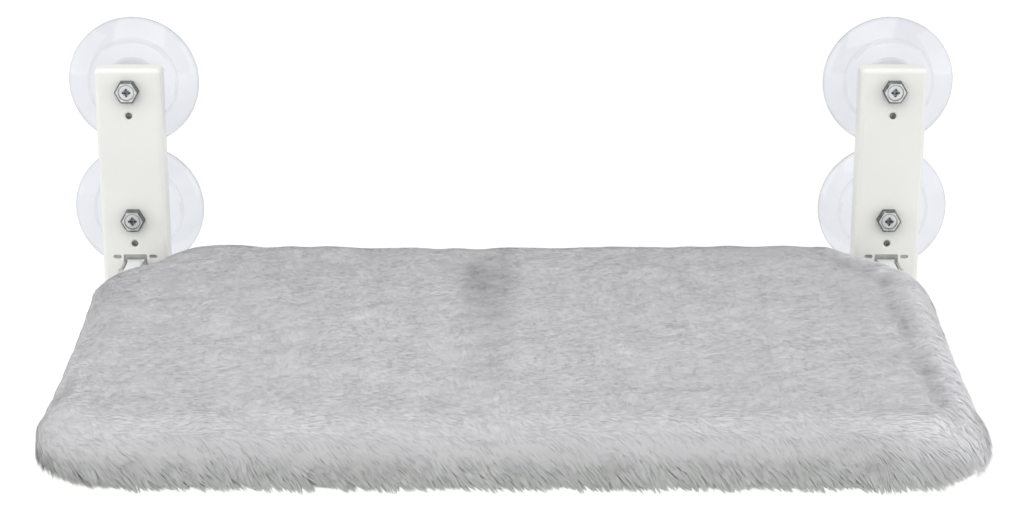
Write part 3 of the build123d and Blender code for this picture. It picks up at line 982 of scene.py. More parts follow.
@dataclass(frozen=True)
class Plan:
    """An outline in plan: a rectangle with its two back corners cut off slantwise."""

    half_width: float
    front_y: float
    back_y: float
    cut_width: float = 0.0455
    cut_depth: float = 0.0610
    arc_points: int = 9
    sag_power: float = 0.8
    radius_loss_share: float = 0.6
    least_radius: float = 0.004

    @staticmethod
    def of_frame() -> "Plan":
        """The outer outline of the bed's steel frame."""
        low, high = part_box("front_frame")
        return Plan(high.x, low.y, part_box("rear_rail")[1].y)

    def corners(self, inset: float) -> list[tuple[float, float]]:
        """The corners, counter-clockwise from the front right.

        Args:
            inset: How far each side is drawn in.

        Returns:
            Each corner's x and y.
        """
        slope = math.hypot(self.cut_width, self.cut_depth)
        cross_x, cross_y = self.cut_depth / slope, self.cut_width / slope
        x, y0, y1 = self.half_width - inset, self.front_y + inset, self.back_y - inset
        start_x = self.half_width - self.cut_width
        corner_x = start_x - (inset - inset * cross_y) / cross_x
        cut_y = self.back_y - (inset + (x - start_x) * cross_x) / cross_y
        right = [(x, y0), (x, cut_y), (corner_x, y1)]
        return right + [(-a, b) for a, b in reversed(right)]

    def depth(self, places: Points) -> Points:
        """How far points lie inside the outline, seen in plan.

        Args:
            places: Points as rows of x, y and z.

        Returns:
            The distance to the nearest side, in metres.
        """
        x, y = np.abs(places[:, 0]), places[:, 1]
        slope = math.hypot(self.cut_width, self.cut_depth)
        beyond = (x - self.half_width + self.cut_width) * self.cut_depth + (y - self.back_y) * self.cut_width
        sides = np.minimum(self.half_width - x, np.minimum(y - self.front_y, self.back_y - y))
        return np.minimum(sides, -beyond / slope)

    def ring(self, inset: float, radii: Sequence[float], sag: float = 0.0, step: float = 0.004) -> Points:
        """The outline as points, with round corners.

        Args:
            inset: How far each side is drawn in. Below 0 it goes outward.
            radii: The radii of a front corner, a cut's front corner and its back corner.
            sag: How far the long sides are drawn in between their corners.
            step: The spacing of the points on the straight runs.

        Returns:
            Points as rows of x and y.
        """
        corners = self.corners(inset)
        turns = [*radii, *reversed(radii)]
        sags = [sag, 0.0, sag, 0.0, sag, sag]
        count = len(corners)
        starts, ends, arcs = [], [], []
        for i in range(count):
            here, before, after = (np.array(corners[j % count]) for j in (i, i - 1, i + 1))
            back, forth = unit(before - here), unit(after - here)
            half = math.acos(float(np.clip(back @ forth, -1.0, 1.0))) / 2
            reach = turns[i] / math.tan(half)
            first, last = here + back * reach, here + forth * reach
            centre = here + unit(back + forth) * turns[i] / math.sin(half)
            share = np.linspace(0.0, 1.0, self.arc_points)[:, None]
            arc = centre + unit(unit(first - centre) * (1 - share) + unit(last - centre) * share) * turns[i]
            starts.append(first)
            ends.append(last)
            arcs.append(arc)
        points = []
        for i in range(count):
            points.extend(arcs[i])
            first, last = ends[i], starts[(i + 1) % count]
            pieces = max(int(np.linalg.norm(last - first) / step), 2)
            share = np.linspace(0.0, 1.0, pieces + 1)[1:-1, None]
            inward = unit(np.array([first[1] - last[1], last[0] - first[0]]))
            sagging = inward * sags[i] * np.sin(share * math.pi) ** self.sag_power
            points.extend(first + (last - first) * share + sagging)
        return np.array(points)

    def level(self, height: float, inset: float, radii: Sequence[float], sag: float, size: int) -> Points:
        """One level of a form, with its points spread evenly.

        Args:
            height: The level's height.
            inset: How far each side is drawn in.
            radii: The corners' radii at no inset.
            sag: How far the long sides are drawn in between their corners.
            size: How many points it has.

        Returns:
            Points as rows of x, y and z.
        """
        turns = [max(radius - inset * self.radius_loss_share, self.least_radius) for radius in radii]
        return np.column_stack([even_ring(self.ring(inset, turns, sag), size), np.full(size, height)])


def even_ring(ring: Points, size: int) -> Points:
    """A closed ring with its points spread evenly.

    Args:
        ring: The ring's points.
        size: How many points to give it.

    Returns:
        The new ring, which starts at the same point.
    """
    closed = np.vstack([ring, ring[:1]])
    lengths = np.concatenate([[0.0], np.cumsum(np.linalg.norm(np.diff(closed, axis=0), axis=1))])
    marks = np.linspace(0.0, lengths[-1], size, endpoint=False)
    return np.column_stack([np.interp(marks, lengths, closed[:, axis]) for axis in range(ring.shape[1])])


def stacked(
    name: str,
    plan: Plan,
    radii: Sequence[float],
    levels: Sequence[tuple[float, float]],
    sag: float = 0.0,
    size: int = 360,
) -> bpy.types.Object:
    """A closed form lofted through the same outline at several levels.

    Args:
        name: The piece's name.
        plan: The outline.
        radii: Its corners' radii at no inset.
        levels: Each level's height and inset, from the foot's middle round to the top's middle.
        sag: How far the long sides are drawn in.
        size: How many points each level has.

    Returns:
        The form.
    """
    rings = [plan.level(height, inset, radii, sag, size) for height, inset in levels]
    faces: list[Sequence[int]] = []
    for level in range(len(levels) - 1):
        a, b = level * size, (level + 1) * size
        for i in range(size):
            j = (i + 1) % size
            faces.append((a + i, a + j, b + j, b + i))
    faces.append(tuple(reversed(range(size))))
    faces.append(tuple(range((len(levels) - 1) * size, len(levels) * size)))
    return mesh_piece(name, np.vstack(rings), faces)


@dataclass
class PlushBed:
    """The plush cover's cloth skin, swelled by its stuffing."""

    skin_out: float = 0.0040
    skin_top_drop: float = 0.0016
    skin_foot_lift: float = -0.0008
    pitch: float = 0.0165
    level_from_front: float = 0.060
    edge_round: float = 0.012
    edge_levels: int = 7
    foot_round: float = 0.0050
    foot_levels: int = 6
    crown_rise: float = 0.0014
    crown_power: float = 0.5
    radii: tuple[float, float, float] = (0.033, 0.024, 0.018)
    side_sag: float = 0.001
    front_draw: float = 0.006
    back_spread: float = 0.027
    spread_start: float = 0.040
    spread_run: float = 0.20
    voxel: float = 0.005
    swell_limit: float = 0.0022
    swell_pressure: float = 4.0
    swell_frames: int = 20
    top_facing: Limits = (0.3, 0.9)
    foot_facing: Limits = (-0.9, -0.3)
    crease: Hump = Hump(-0.016, 0.017)
    crease_depth: float = 0.0022
    crease_waver: Ripple = Ripple(0.09, 3, 0.25)
    back_lift: float = 0.0012
    back_lift_run: Limits = (-0.09, -0.01)
    back_lift_ends: Limits = (0.212, 0.185)
    back_hump: Hump = Hump(0.150, 0.045, 0.6)
    back_dip: Hump = Hump(-0.088, 0.030, 0.0012)
    back_dip_run: Hump = Hump(0.0, 0.03)
    slow_dents: Ripple = Ripple(0.055, 5, 0.0005)
    quick_dents: Ripple = Ripple(0.020, 7, 0.0003)
    right_rim: Limits = (0.17, 0.22)
    rim_roll: Hump = Hump(0.010, 0.006, 0.0012)
    rim_valley: Hump = Hump(0.023, 0.006, 0.0014)
    slow_bulges: Ripple = Ripple(0.04, 11, 0.0004)
    quick_bulges: Ripple = Ripple(0.014, 13, 0.0003)
    corner_from_front: Limits = (0.070, 0.015)
    corner_from_middle: Limits = (0.185, 0.230)
    corner_bulge: float = 0.0038
    bulge_below_top: Limits = (0.004, 0.014)
    corner_draw: float = 0.0052
    draw_above_foot: Limits = (0.012, 0.004)
    turn_under: float = 0.035
    turn_blend: Limits = (-0.006, 0.003)
    recess_above_panel: float = 0.0010

    def __post_init__(self) -> None:
        """Reads the room that the CAD cover takes."""
        self.low, self.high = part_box("plush_cover")
        steel = Plan.of_frame()
        out = self.skin_out
        (corner_x, back_y), (side_x, cut_y) = steel.corners(-out)[2], steel.corners(-out)[1]
        self.plan = Plan(side_x, steel.front_y - out, back_y, side_x - corner_x, back_y - cut_y)
        self.top_z = self.high.z - self.skin_top_drop
        self.foot_z = self.low.z + self.skin_foot_lift

    def closed_form(self) -> bpy.types.Object:
        """Builds the stuffed form: rounded sides, wider at the back, a flat top and a flat foot.

        Returns:
            The form, with an even mesh.
        """
        levels = []
        for angle in np.linspace(-math.pi / 2, 0.0, self.foot_levels):
            drawn_in = self.foot_round * (1 - math.cos(angle))
            levels.append((self.foot_z + self.foot_round * (1 + math.sin(angle)), drawn_in))
        for angle in np.linspace(0.0, math.pi / 2, self.edge_levels):
            drawn_in = self.edge_round * (1 - math.cos(angle))
            shoulder_z = self.top_z - self.crown_rise
            levels.append((shoulder_z - self.edge_round * (1 - math.sin(angle)), drawn_in))
        form = stacked("plush_cover_cloth", self.plan, self.radii, levels, self.side_sag)
        places = places_of(form.data)
        reach = np.clip((places[:, 1] - self.plan.front_y - self.spread_start) / self.spread_run, 0.0, 1.0)
        spread = (self.back_spread + self.front_draw) * reach - self.front_draw
        places[:, 0] *= 1 + spread
        set_places(form.data, places)
        remesh = form.modifiers.new("even", "REMESH")
        remesh.mode = "VOXEL"
        remesh.voxel_size = self.voxel
        self.apply(form)
        return form

    @staticmethod
    def apply(piece: bpy.types.Object) -> None:
        """Turns a piece's modifiers into its mesh.

        Args:
            piece: The piece. It has no modifiers afterwards.
        """
        shown = piece.evaluated_get(bpy.context.evaluated_depsgraph_get())
        mesh = bpy.data.meshes.new_from_object(shown)
        piece.modifiers.clear()
        old, piece.data = piece.data, mesh
        bpy.data.meshes.remove(old)
        mesh.shade_smooth()

    def swell(self, form: bpy.types.Object) -> None:
        """Lets the cloth swell outward over its stuffing, no further than its limit.

        Args:
            form: The stuffed form.
        """
        before, resting = places_of(form.data), normals_of(form.data)
        cloth = form.modifiers.new("swell", "CLOTH")
        cloth.settings.use_pressure = True
        cloth.settings.uniform_pressure_force = self.swell_pressure
        cloth.settings.effector_weights.gravity = 0.0
        cloth.settings.quality = 4
        scene = bpy.context.scene
        for number in range(1, self.swell_frames + 1):
            scene.frame_set(number)
        self.apply(form)
        scene.frame_set(1)
        outward = np.sum((places_of(form.data) - before) * resting, axis=1)
        capped = np.clip(outward, 0.0, self.swell_limit)
        set_places(form.data, before + resting * capped[:, None])
        log.info("swelled by %.1f mm on average", float(capped.mean()) * 1000)

    def top_lift(self, places: Points, inside: Points) -> Points:
        """How the stuffing shapes the top: its crown, crease, back edge, dents and rolled right rim.

        Args:
            places: Points as rows of x, y and z.
            inside: How far each lies inside the outline.

        Returns:
            How far each point is lifted.
        """
        x, y, plan = places[:, 0], places[:, 1], self.plan
        middle_y = (plan.front_y + plan.back_y) / 2
        outward = np.maximum(np.abs(x) / plan.half_width, np.abs(y - middle_y) / (plan.back_y - middle_y))
        lift = self.crown_rise * np.clip(1 - outward**2, 0.0, 1.0) ** self.crown_power
        waver = 1 - self.crease_waver.height + self.crease_waver.at(places)
        lift = lift - self.crease_depth * self.crease.at(x) * waver
        back = y - plan.back_y
        behind = smooth_step(*self.back_lift_run, back) * smooth_step(*self.back_lift_ends, np.abs(x))
        lift = lift + self.back_lift * behind * (1 - self.back_hump.height + self.back_hump.at(np.abs(x)))
        lift = lift - self.back_dip.at(x) * self.back_dip_run.at(back)
        lift = lift + self.slow_dents.at(places) + self.quick_dents.at(places)
        right = smooth_step(*self.right_rim, x)
        return lift + right * self.rim_roll.at(inside) - right * self.rim_valley.at(inside)

    def corner_swell(self, places: Points) -> Points:
        """How far the front corners bulge at mid height and draw in at the foot.

        Args:
            places: Points as rows of x, y and z.

        Returns:
            How far each point moves outward.
        """
        x, y, z = places.T
        corner = smooth_step(*self.corner_from_front, y - self.plan.front_y)
        corner = corner * smooth_step(*self.corner_from_middle, np.abs(x))
        bulging = self.corner_bulge * corner * smooth_step(*self.bulge_below_top, self.top_z - z)
        return bulging - self.corner_draw * corner * smooth_step(*self.draw_above_foot, z - self.foot_z)

    def shape_skin(self, form: bpy.types.Object) -> None:
        """Presses the crease, the crown and the turned-under edge into the swelled form.

        Args:
            form: The swelled form.
        """
        fine = form.modifiers.new("fine", "SUBSURF")
        fine.levels = fine.render_levels = 1
        self.apply(form)
        places, normals = places_of(form.data), normals_of(form.data)
        facing = normals[:, 2]
        over = smooth_step(*self.top_facing, facing)
        inside = self.plan.depth(places)
        places[:, 2] += self.top_lift(places, inside) * over
        bulges = self.slow_bulges.at(places) + self.quick_bulges.at(places)
        places += normals * (bulges * (1 - over) * smooth_step(*self.foot_facing, facing))[:, None]
        places[:, :2] += unit(normals[:, :2]) * (self.corner_swell(places) * (1 - over))[:, None]
        ahead = places[:, 1] - self.plan.front_y - self.level_from_front
        rising = np.where(ahead > 0, smooth_step(self.foot_z, self.top_z, places[:, 2]), 1.0)
        places[:, 2] += self.pitch * ahead * rising
        recess_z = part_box("underside_panel")[1].z + self.recess_above_panel
        within = smooth_step(*self.turn_blend, inside - self.turn_under)
        within = within * smooth_step(*reversed(self.foot_facing), facing)
        places[:, 2] += (recess_z - places[:, 2]) * within
        set_places(form.data, places)

    def make(self, finishes: "Finishes") -> bpy.types.Object:
        """Builds the skin.

        Args:
            finishes: The part's materials.

        Returns:
            The skin, which the pile then grows from.
        """
        skin = self.closed_form()
        self.swell(skin)
        self.shape_skin(skin)
        dress(skin, finishes.plush_cloth)
        # The skin gets the same painted light and shade of the nap as the pile.
        mark(skin.data, "shade", PaintedNapShade().shade(self, places_of(skin.data)))
        seat(skin, Body.BED, ["plush_cover"])
        return skin


@dataclass
class FoamPad:
    """The foam under the cover: cut to the frame's inside, soft at its upper edge and a little crowned."""

    edge_clearance: float = 0.0012
    edge_round: float = 0.0035
    edge_levels: int = 7
    foot_round: float = 0.0008
    foot_levels: int = 4
    foot_margin: float = 0.012
    crown_rise: float = 0.0012
    crown_levels: int = 10
    crown_reach: float = 0.068
    radii: tuple[float, float, float] = (0.022, 0.014, 0.010)
    large_dents: Ripple = Ripple(0.030, 61, 0.00022)
    small_dents: Ripple = Ripple(0.009, 67, 0.00012)
    dented_facing: Limits = (-0.6, 0.2)

    def make(self, finishes: "Finishes") -> bpy.types.Object:
        """Builds the pad.

        Args:
            finishes: The part's materials.

        Returns:
            The pad.
        """
        low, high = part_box("foam_pad")
        steel = Plan.of_frame()
        inset = steel.half_width - high.x + self.edge_clearance
        shoulder_z = high.z - self.crown_rise
        levels = [(low.z, inset + self.foot_round + self.foot_margin)]
        for angle in reversed(np.linspace(0.0, math.pi / 2, self.foot_levels)):
            rise = self.foot_round * (1 - math.sin(angle))
            levels.append((low.z + rise, inset + self.foot_round * (1 - math.cos(angle))))
        for angle in np.linspace(0.0, math.pi / 2, self.edge_levels):
            drop = self.edge_round * (1 - math.sin(angle))
            levels.append((shoulder_z - drop, inset + self.edge_round * (1 - math.cos(angle))))
        for share in np.linspace(0.0, 1.0, self.crown_levels)[1:]:
            rise = self.crown_rise * math.sin(share * math.pi / 2)
            levels.append((shoulder_z + rise, inset + self.edge_round + self.crown_reach * share))
        pad = stacked("foam_pad_foam", steel, self.radii, levels)
        places, normals = places_of(pad.data), normals_of(pad.data)
        dents = self.large_dents.at(places) + self.small_dents.at(places)
        dents = np.minimum(dents, 0.0) * smooth_step(*self.dented_facing, normals[:, 2])
        set_places(pad.data, places + normals * dents[:, None])
        dress(pad, finishes.foam)
        seat(pad, Body.BED, ["foam_pad"])
        return pad


@dataclass
class UndersidePanel:
    """The woven panel that closes the cover's underside, with a turned hem and a row of stitches."""

    thickness: float = 0.0007
    foot_clearance: float = 0.0001
    frame_inset: float = 0.0173
    radii: tuple[float, float, float] = (0.012, 0.012, 0.012)
    level_points: int = 480
    outline_points: int = 400
    hem_width: float = 0.012
    hem_step: float = 0.00035
    hem_corner: float = 0.0003
    hem_edge: float = 0.0004
    hem_bevel: tuple[float, float] = (0.0001, 0.0002)
    hem_land: float = 0.0008
    hem_end: float = 0.0005
    top_margin: float = 0.004
    seam_half_width: float = 0.0012
    seam_depth: float = 0.00018
    fold_start: float = 0.004
    fold_step: float = 0.008
    fold_levels: int = 6
    slack: Ripple = Ripple(0.060, 71, 0.00018)
    slack_run: float = 0.02
    slack_limit: float = 0.0003
    stitch_inset: float = 0.0098
    stitch_length: float = 0.0030
    stitch_pitch: float = 0.0041
    stitch_width: float = 0.0006
    stitch_flatness: float = 0.7
    stitch_sides: int = 6
    stitch_shares: tuple[tuple[float, float, float], ...] = (
        (-0.5, 0.25, 0.5),
        (-0.32, 0.95, 0.05),
        (0.0, 1.0, -0.1),
        (0.32, 0.95, 0.05),
        (0.5, 0.25, 0.5),
    )
    seam_radius: float = 0.006
    seam_step: float = 0.002

    def make(self, finishes: "Finishes") -> None:
        """Builds the panel and its stitches.

        Args:
            finishes: The part's materials.
        """
        self.foot_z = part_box("underside_panel")[0].z + self.foot_clearance
        panel = self.cloth()
        dress(panel, finishes.lining)
        seat(panel, Body.BED, ["underside_panel"])
        stitches = self.stitches()
        dress(stitches, finishes.thread)
        seat(stitches, Body.BED)
        outline = even_ring(Plan.of_frame().ring(self.frame_inset, self.radii), self.outline_points)

    def cloth(self) -> bpy.types.Object:
        """The panel with its hem, which is turned to the outside.

        Returns:
            The panel.
        """
        plan, rim = Plan.of_frame(), self.frame_inset
        inner, seam = rim + self.hem_width, self.stitch_inset + rim
        foot, raised = self.foot_z + self.hem_step, self.foot_z
        top = foot + self.thickness
        bevel_rise, bevel_run = self.hem_bevel
        levels = [(foot, inner + self.fold_start + self.fold_step * step) for step in range(self.fold_levels)]
        levels.reverse()
        levels += [(foot, inner + self.hem_corner), (raised + bevel_rise, inner)]
        levels += [(raised, inner - self.hem_end)]
        levels += [(raised, seam + self.seam_half_width), (raised + self.seam_depth, seam)]
        levels += [(raised, seam - self.seam_half_width), (raised, rim + self.hem_land)]
        levels += [(raised + bevel_rise, rim + bevel_run), (raised + self.hem_edge, rim)]
        levels += [(top - self.hem_corner, rim), (top, rim + self.hem_corner), (top, rim + self.top_margin)]
        panel = stacked("underside_panel_cloth", plan, self.radii, levels, size=self.level_points)
        places = places_of(panel.data)
        wave = self.slack.at(places) * smooth_step(inner, inner + self.slack_run, plan.depth(places))
        places[:, 2] += np.clip(wave, -self.slack_limit, self.slack_limit)
        set_places(panel.data, places)
        return panel

    def stitches(self) -> bpy.types.Object:
        """The stitches along the hem, each a short tapered thread that dips in at both ends.

        Returns:
            All of them as one piece.
        """
        radii = [self.seam_radius] * 3
        ring = Plan.of_frame().ring(self.frame_inset + self.stitch_inset, radii, step=self.seam_step)
        length = float(np.linalg.norm(np.diff(np.vstack([ring, ring[:1]]), axis=0), axis=1).sum())
        spots = even_ring(ring, round(length / self.stitch_pitch))
        ways = unit(np.roll(spots, -1, axis=0) - np.roll(spots, 1, axis=0))
        half, sides = self.stitch_width / 2, self.stitch_sides
        points, faces = [], []
        for spot, way in zip(spots, ways):
            start = len(points)
            across = np.array([way[1], -way[0]])
            for place, swell, dip in self.stitch_shares:
                centre = spot + way * place * self.stitch_length
                height = self.foot_z + half * dip
                for i in range(sides):
                    turn = math.tau * i / sides
                    edge = centre + across * half * swell * math.cos(turn)
                    rise = half * self.stitch_flatness * swell * math.sin(turn)
                    points.append((edge[0], edge[1], height + rise))
            last = start + (len(self.stitch_shares) - 1) * sides
            for a in range(start, last, sides):
                for i in range(sides):
                    j = (i + 1) % sides
                    faces.append((a + i, a + sides + i, a + sides + j, a + j))
            faces.append(tuple(start + i for i in range(sides)))
            faces.append(tuple(last + i for i in reversed(range(sides))))
        return mesh_piece("underside_panel_stitches", np.array(points), faces)


def mark(mesh: bpy.types.Mesh, name: str, values: Points) -> None:
    """Stores one number for each point of a mesh.

    Args:
        mesh: The mesh.
        name: The attribute's name.
        values: The numbers.
    """
    mesh.attributes.new(name, "FLOAT", "POINT").data.foreach_set("value", values.astype(np.float32))


def nearest_of(places: Points, spots: Points) -> Points:
    """Which of some places is nearest to each spot.

    Args:
        places: The places to choose from.
        spots: The spots that are asked about.

    Returns:
        The number of the nearest place for each spot.
    """
    tree = kdtree.KDTree(len(places))
    for number, place in enumerate(places):
        tree.insert(place, number)
    tree.balance()
    return np.array([tree.find(spot)[1] for spot in spots])


@dataclass(frozen=True)
class PaintedNapShade:
    """Painted light and shade on the pile, as changes of its value: darker to the front and the back and on
    the left, a painted shadow along the crease, painted shade in the right rim's valley and a painted
    highlight on its roll, with slow random wavers.
    """

    middle_change: float = -0.068
    ends_change: float = -0.045
    middle_share: float = 0.4
    left_change: float = -0.02
    left_of_middle: Limits = (0.0, -0.2)
    crease_half_width: float = 0.015
    crease_power: int = 4
    crease_change: float = -0.085
    crease_start_shares: Limits = (0.08, 0.35)
    crease_shadow: Hump = Hump(0.74, 0.11, -0.25)
    patch_evenness: float = 0.85
    patch_waver: Ripple = Ripple(0.010, 53, 0.3)
    left_edge_change: float = -0.07
    left_edge: Limits = (-0.215, -0.238)
    valley: Hump = Hump(0.024, 0.007, -0.05)
    valley_evenness: float = 0.7
    valley_waver: Ripple = Ripple(0.012, 47, 0.5)
    roll: Hump = Hump(0.008, 0.010, 0.30)
    slow_waver: Ripple = Ripple(0.05, 37, 0.008)
    quick_waver: Ripple = Ripple(0.018, 43, 0.005)

    def shade(self, bed: PlushBed, places: Points) -> Points:
        """Reads the change of value.

        Args:
            bed: The bed's sizes.
            places: Where to read it.

        Returns:
            The change at each place.
        """
        x, depth = places[:, 0], bed.plan.depth(places)
        reach = (places[:, 1] - bed.plan.front_y) / (bed.plan.back_y - bed.plan.front_y)
        from_middle = np.clip(reach, 0.0, 1.0) / self.middle_share - 1.0
        shade = self.middle_change + self.ends_change * from_middle**2
        shade = shade + self.left_change * smooth_step(*self.left_of_middle, x) * reach
        # Painted shadow along the crease, deepest in a patch towards the back.
        band = Hump(bed.crease.middle, self.crease_half_width, power=self.crease_power).at(x)
        crease_shadow = self.crease_shadow.at(reach) * (self.patch_evenness + self.patch_waver.at(places))
        shade = shade + band * (self.crease_change * smooth_step(*self.crease_start_shares, reach) + crease_shadow)
        shade = shade + self.left_edge_change * smooth_step(*self.left_edge, x)
        # Painted shade in the right rim's valley and a painted highlight on its roll.
        valley = self.valley.at(depth) * (self.valley_evenness + self.valley_waver.at(places))
        shade = shade + smooth_step(*bed.right_rim, x) * (valley + self.roll.at(depth))
        return shade + self.slow_waver.at(places) + self.quick_waver.at(places)


@dataclass(frozen=True)
class ByZone:
    """An amount for each zone of the cover. Where zones meet, their amounts add up by their shares.

    The side's low part, its wild right end, the rim at the foot, what is turned under there and the tufted
    right rim of the top lie over the top, the side and the underside, and add to what those have.
    """

    top: float = 0.0
    side: float = 0.0
    under: float = 0.0
    low: float = 0.0
    wild: float = 0.0
    rim: float = 0.0
    turned: float = 0.0
    tufted: float = 0.0

    def at(self, zones: dict[str, Points]) -> Points:
        """Mixes the amounts.

        Args:
            zones: Each zone's share at each root.

        Returns:
            The amount at each root.
        """
        return sum(getattr(self, zone) * share for zone, share in zones.items())


@dataclass
class Pile:
    """The plush's pile as tapered strands that lie over each other and gather into tufts."""

    strands: int = 340000
    seed: int = 41
    side_density: float = 0.7
    foot_thinning: float = 0.45
    hidden_margin: float = 0.003
    hidden_facing: float = -0.5
    top_facing: Limits = (0.25, 0.85)
    under_facing: Limits = (-0.3, -0.85)
    low_below_top: float = 0.012
    low_above_foot: float = 0.009
    wild_from_middle: Limits = (0.14, 0.235)
    rim_facing: Limits = (0.2, -0.5)
    rim_depth: Limits = (0.018, 0.006)
    tufted_rim: Hump = Hump(0.010, 0.009)
    length: ByZone = ByZone(top=0.0066, side=0.0078, under=0.0050)
    wild_length_share: float = 0.15
    length_range: Limits = (0.72, 1.2)
    length_waver: Ripple = Ripple(0.012, 17, 0.12)
    lift_degrees: ByZone = ByZone(top=2.1, side=4, under=14, low=16, wild=14, turned=10, tufted=13)
    lift_waver: Ripple = Ripple(0.007, 19)
    waver_degrees: ByZone = ByZone(top=0.5, side=1, low=8)
    lift_range: Limits = (0.6, 1.4)
    bend_share: float = 0.30
    droop: ByZone = ByZone(side=0.20, rim=0.20)
    root_rise: float = 0.0001
    hang_limit_z: float = -0.0967
    hang_limit_spread: float = 0.0004
    least_length_share: float = 0.3
    mark_shares: tuple[float, ...] = (0.0, 0.35, 0.7, 1.0)
    hug: ByZone = ByZone(top=1, side=1, low=-1, wild=-1)
    least_hug: float = 0.02
    tuft_share: float = 0.045
    tuft_pull: ByZone = ByZone(top=0.04, side=0.14, under=0.4, low=0.36, tufted=0.5)
    tuft_power: float = 1.3
    shade_spread: float = 0.004
    width: ByZone = ByZone(top=0.00034, side=0.00040, under=0.00040)
    width_range: Limits = (0.7, 1.25)
    taper_share: float = 0.72
    thickness_share: float = 0.24
    comb_degrees: float = -20.0
    crease_comb_degrees: float = -45.0
    slow_comb: Ripple = Ripple(0.045, 23, 24.0)
    quick_comb: Ripple = Ripple(0.014, 29, 16.0)
    hang_way: tuple[float, float, float] = (0.85, -0.35, -0.62)
    hang_waver: Ripple = Ripple(0.02, 31, 0.40)
    columns: int = 10
    lean: float = 0.10
    tip_lean: float = 0.2
    map_ends: Limits = (0.08, 0.92)
    map_start: float = 0.15
    map_step: float = 0.35

    def grow(self, bed: PlushBed, skin: bpy.types.Object, finishes: "Finishes") -> None:
        """Grows the pile from the skin.

        Args:
            bed: The bed's sizes.
            skin: The skin that the strands stand on.
            finishes: The part's materials.
        """
        rng = np.random.default_rng(self.seed)
        roots, normals = self.sow(bed, skin.data, rng)
        count = len(roots)
        zones = self.zones(bed, roots, normals)
        comb = self.comb(bed, roots, normals, zones["top"])
        length = self.length.at(zones) * (1 + self.wild_length_share * zones["wild"])
        length = length * rng.uniform(*self.length_range, count) * (1 + self.length_waver.at(roots))
        degrees = self.lift_degrees.at(zones) + self.lift_waver.at(roots) * self.waver_degrees.at(zones)
        lift = np.radians(degrees * rng.uniform(*self.lift_range, count))
        ahead = comb * np.cos(lift)[:, None] + normals * np.sin(lift)[:, None]
        bend = -normals * (self.bend_share * np.sin(lift))[:, None]
        bend[:, 2] -= self.droop.at(zones)
        fall = np.maximum(-length * (ahead + bend)[:, 2], 1e-6)
        limit = self.hang_limit_z + rng.normal(0.0, self.hang_limit_spread, count)
        length = length * np.clip((roots[:, 2] - limit) / fall, self.least_length_share, 1.0)
        lines = self.curves(roots + normals * self.root_rise, ahead, bend, length)
        heights = np.sum((lines - roots[:, None]) * normals[:, None], axis=2)
        self.follow(skin.data, lines, heights, np.clip(self.hug.at(zones), 0.0, 1.0))
        lines = self.gather(lines, rng, self.tuft_pull.at(zones))
        # Each strand's shade is a random spread plus painted light and shade of the nap.
        shade = rng.normal(0.0, self.shade_spread, count) + PaintedNapShade().shade(bed, roots)
        width = self.width.at(zones) * rng.uniform(*self.width_range, count)
        region = np.where(zones["side"] > 0.5, 0, np.where(normals[:, 2] > 0, 1, 2))
        # The edge's strands bend the most, so they keep every mark of their centre line.
        marks_of = {"edge": (0, 1, 2, 3), "crown": (0, 1, 3), "underside": (0, 1, 3)}
        for number, (area, marks) in enumerate(marks_of.items()):
            members = np.flatnonzero(region == number)
            from_left = members[np.argsort(roots[members, 0], kind="stable")]
            for column, mine in enumerate(np.array_split(from_left, self.columns), start=1):
                chosen = lines[mine][:, marks]
                name = f"pile_{area}_{column}"
                piece = self.strand_mesh(name, normals[mine], chosen, width[mine], shade[mine])
                dress(piece, finishes.plush_pile)
                seat(piece, Body.BED)

    def sow(self, bed: PlushBed, mesh: bpy.types.Mesh, rng: np.random.Generator) -> tuple[Points, Points]:
        """Picks where the strands stand.

        Args:
            bed: The bed's sizes.
            mesh: The skin's mesh.
            rng: The pile's random numbers.

        Returns:
            The roots and the skin's normals there.
        """
        mesh.calc_loop_triangles()
        corners = np.empty(len(mesh.loop_triangles) * 3, np.int32)
        mesh.loop_triangles.foreach_get("vertices", corners)
        corners = corners.reshape(-1, 3)
        places, normals = places_of(mesh), normals_of(mesh)
        a, b, c = (places[corners[:, i]] for i in range(3))
        area = np.linalg.norm(np.cross(b - a, c - a), axis=1) / 2
        centre = (a + b + c) / 3
        facing = normals[corners].mean(axis=1)[:, 2]
        density = 1 + self.side_density * (1 - np.abs(facing))
        weight = area * (density - self.foot_thinning * smooth_step(*reversed(bed.foot_facing), facing))
        inside = bed.plan.depth(centre) > bed.turn_under - self.hidden_margin
        weight[inside & (facing < self.hidden_facing)] = 0.0
        picked = rng.choice(len(area), self.strands, p=weight / weight.sum())
        u, v = rng.random((2, self.strands, 1))
        flip = (u + v) > 1
        u, v = np.where(flip, 1 - u, u), np.where(flip, 1 - v, v)
        chosen = corners[picked]
        mix = [1 - u - v, u, v]
        roots = sum(places[chosen[:, i]] * mix[i] for i in range(3))
        upright = unit(sum(normals[chosen[:, i]] * mix[i] for i in range(3)))
        return roots, upright

    def zones(self, bed: PlushBed, roots: Points, normals: Points) -> dict[str, Points]:
        """Which zones of the cover the strands stand in.

        Args:
            bed: The bed's sizes.
            roots: Where the strands stand.
            normals: The skin's normals there.

        Returns:
            Each zone's share at each root.
        """
        x, facing, depth = roots[:, 0], normals[:, 2], bed.plan.depth(roots)
        top, under = smooth_step(*self.top_facing, facing), smooth_step(*self.under_facing, facing)
        side = 1 - top - under
        low = smooth_step(bed.top_z - self.low_below_top, bed.foot_z + self.low_above_foot, roots[:, 2])
        rim = smooth_step(*self.rim_facing, facing) * smooth_step(*self.rim_depth, depth)
        return {
            "top": top,
            "side": side,
            "under": under,
            "low": low * side,
            "wild": smooth_step(*self.wild_from_middle, x) * side,
            "rim": rim,
            "turned": rim * under,
            "tufted": smooth_step(*bed.right_rim, x) * top * self.tufted_rim.at(depth),
        }

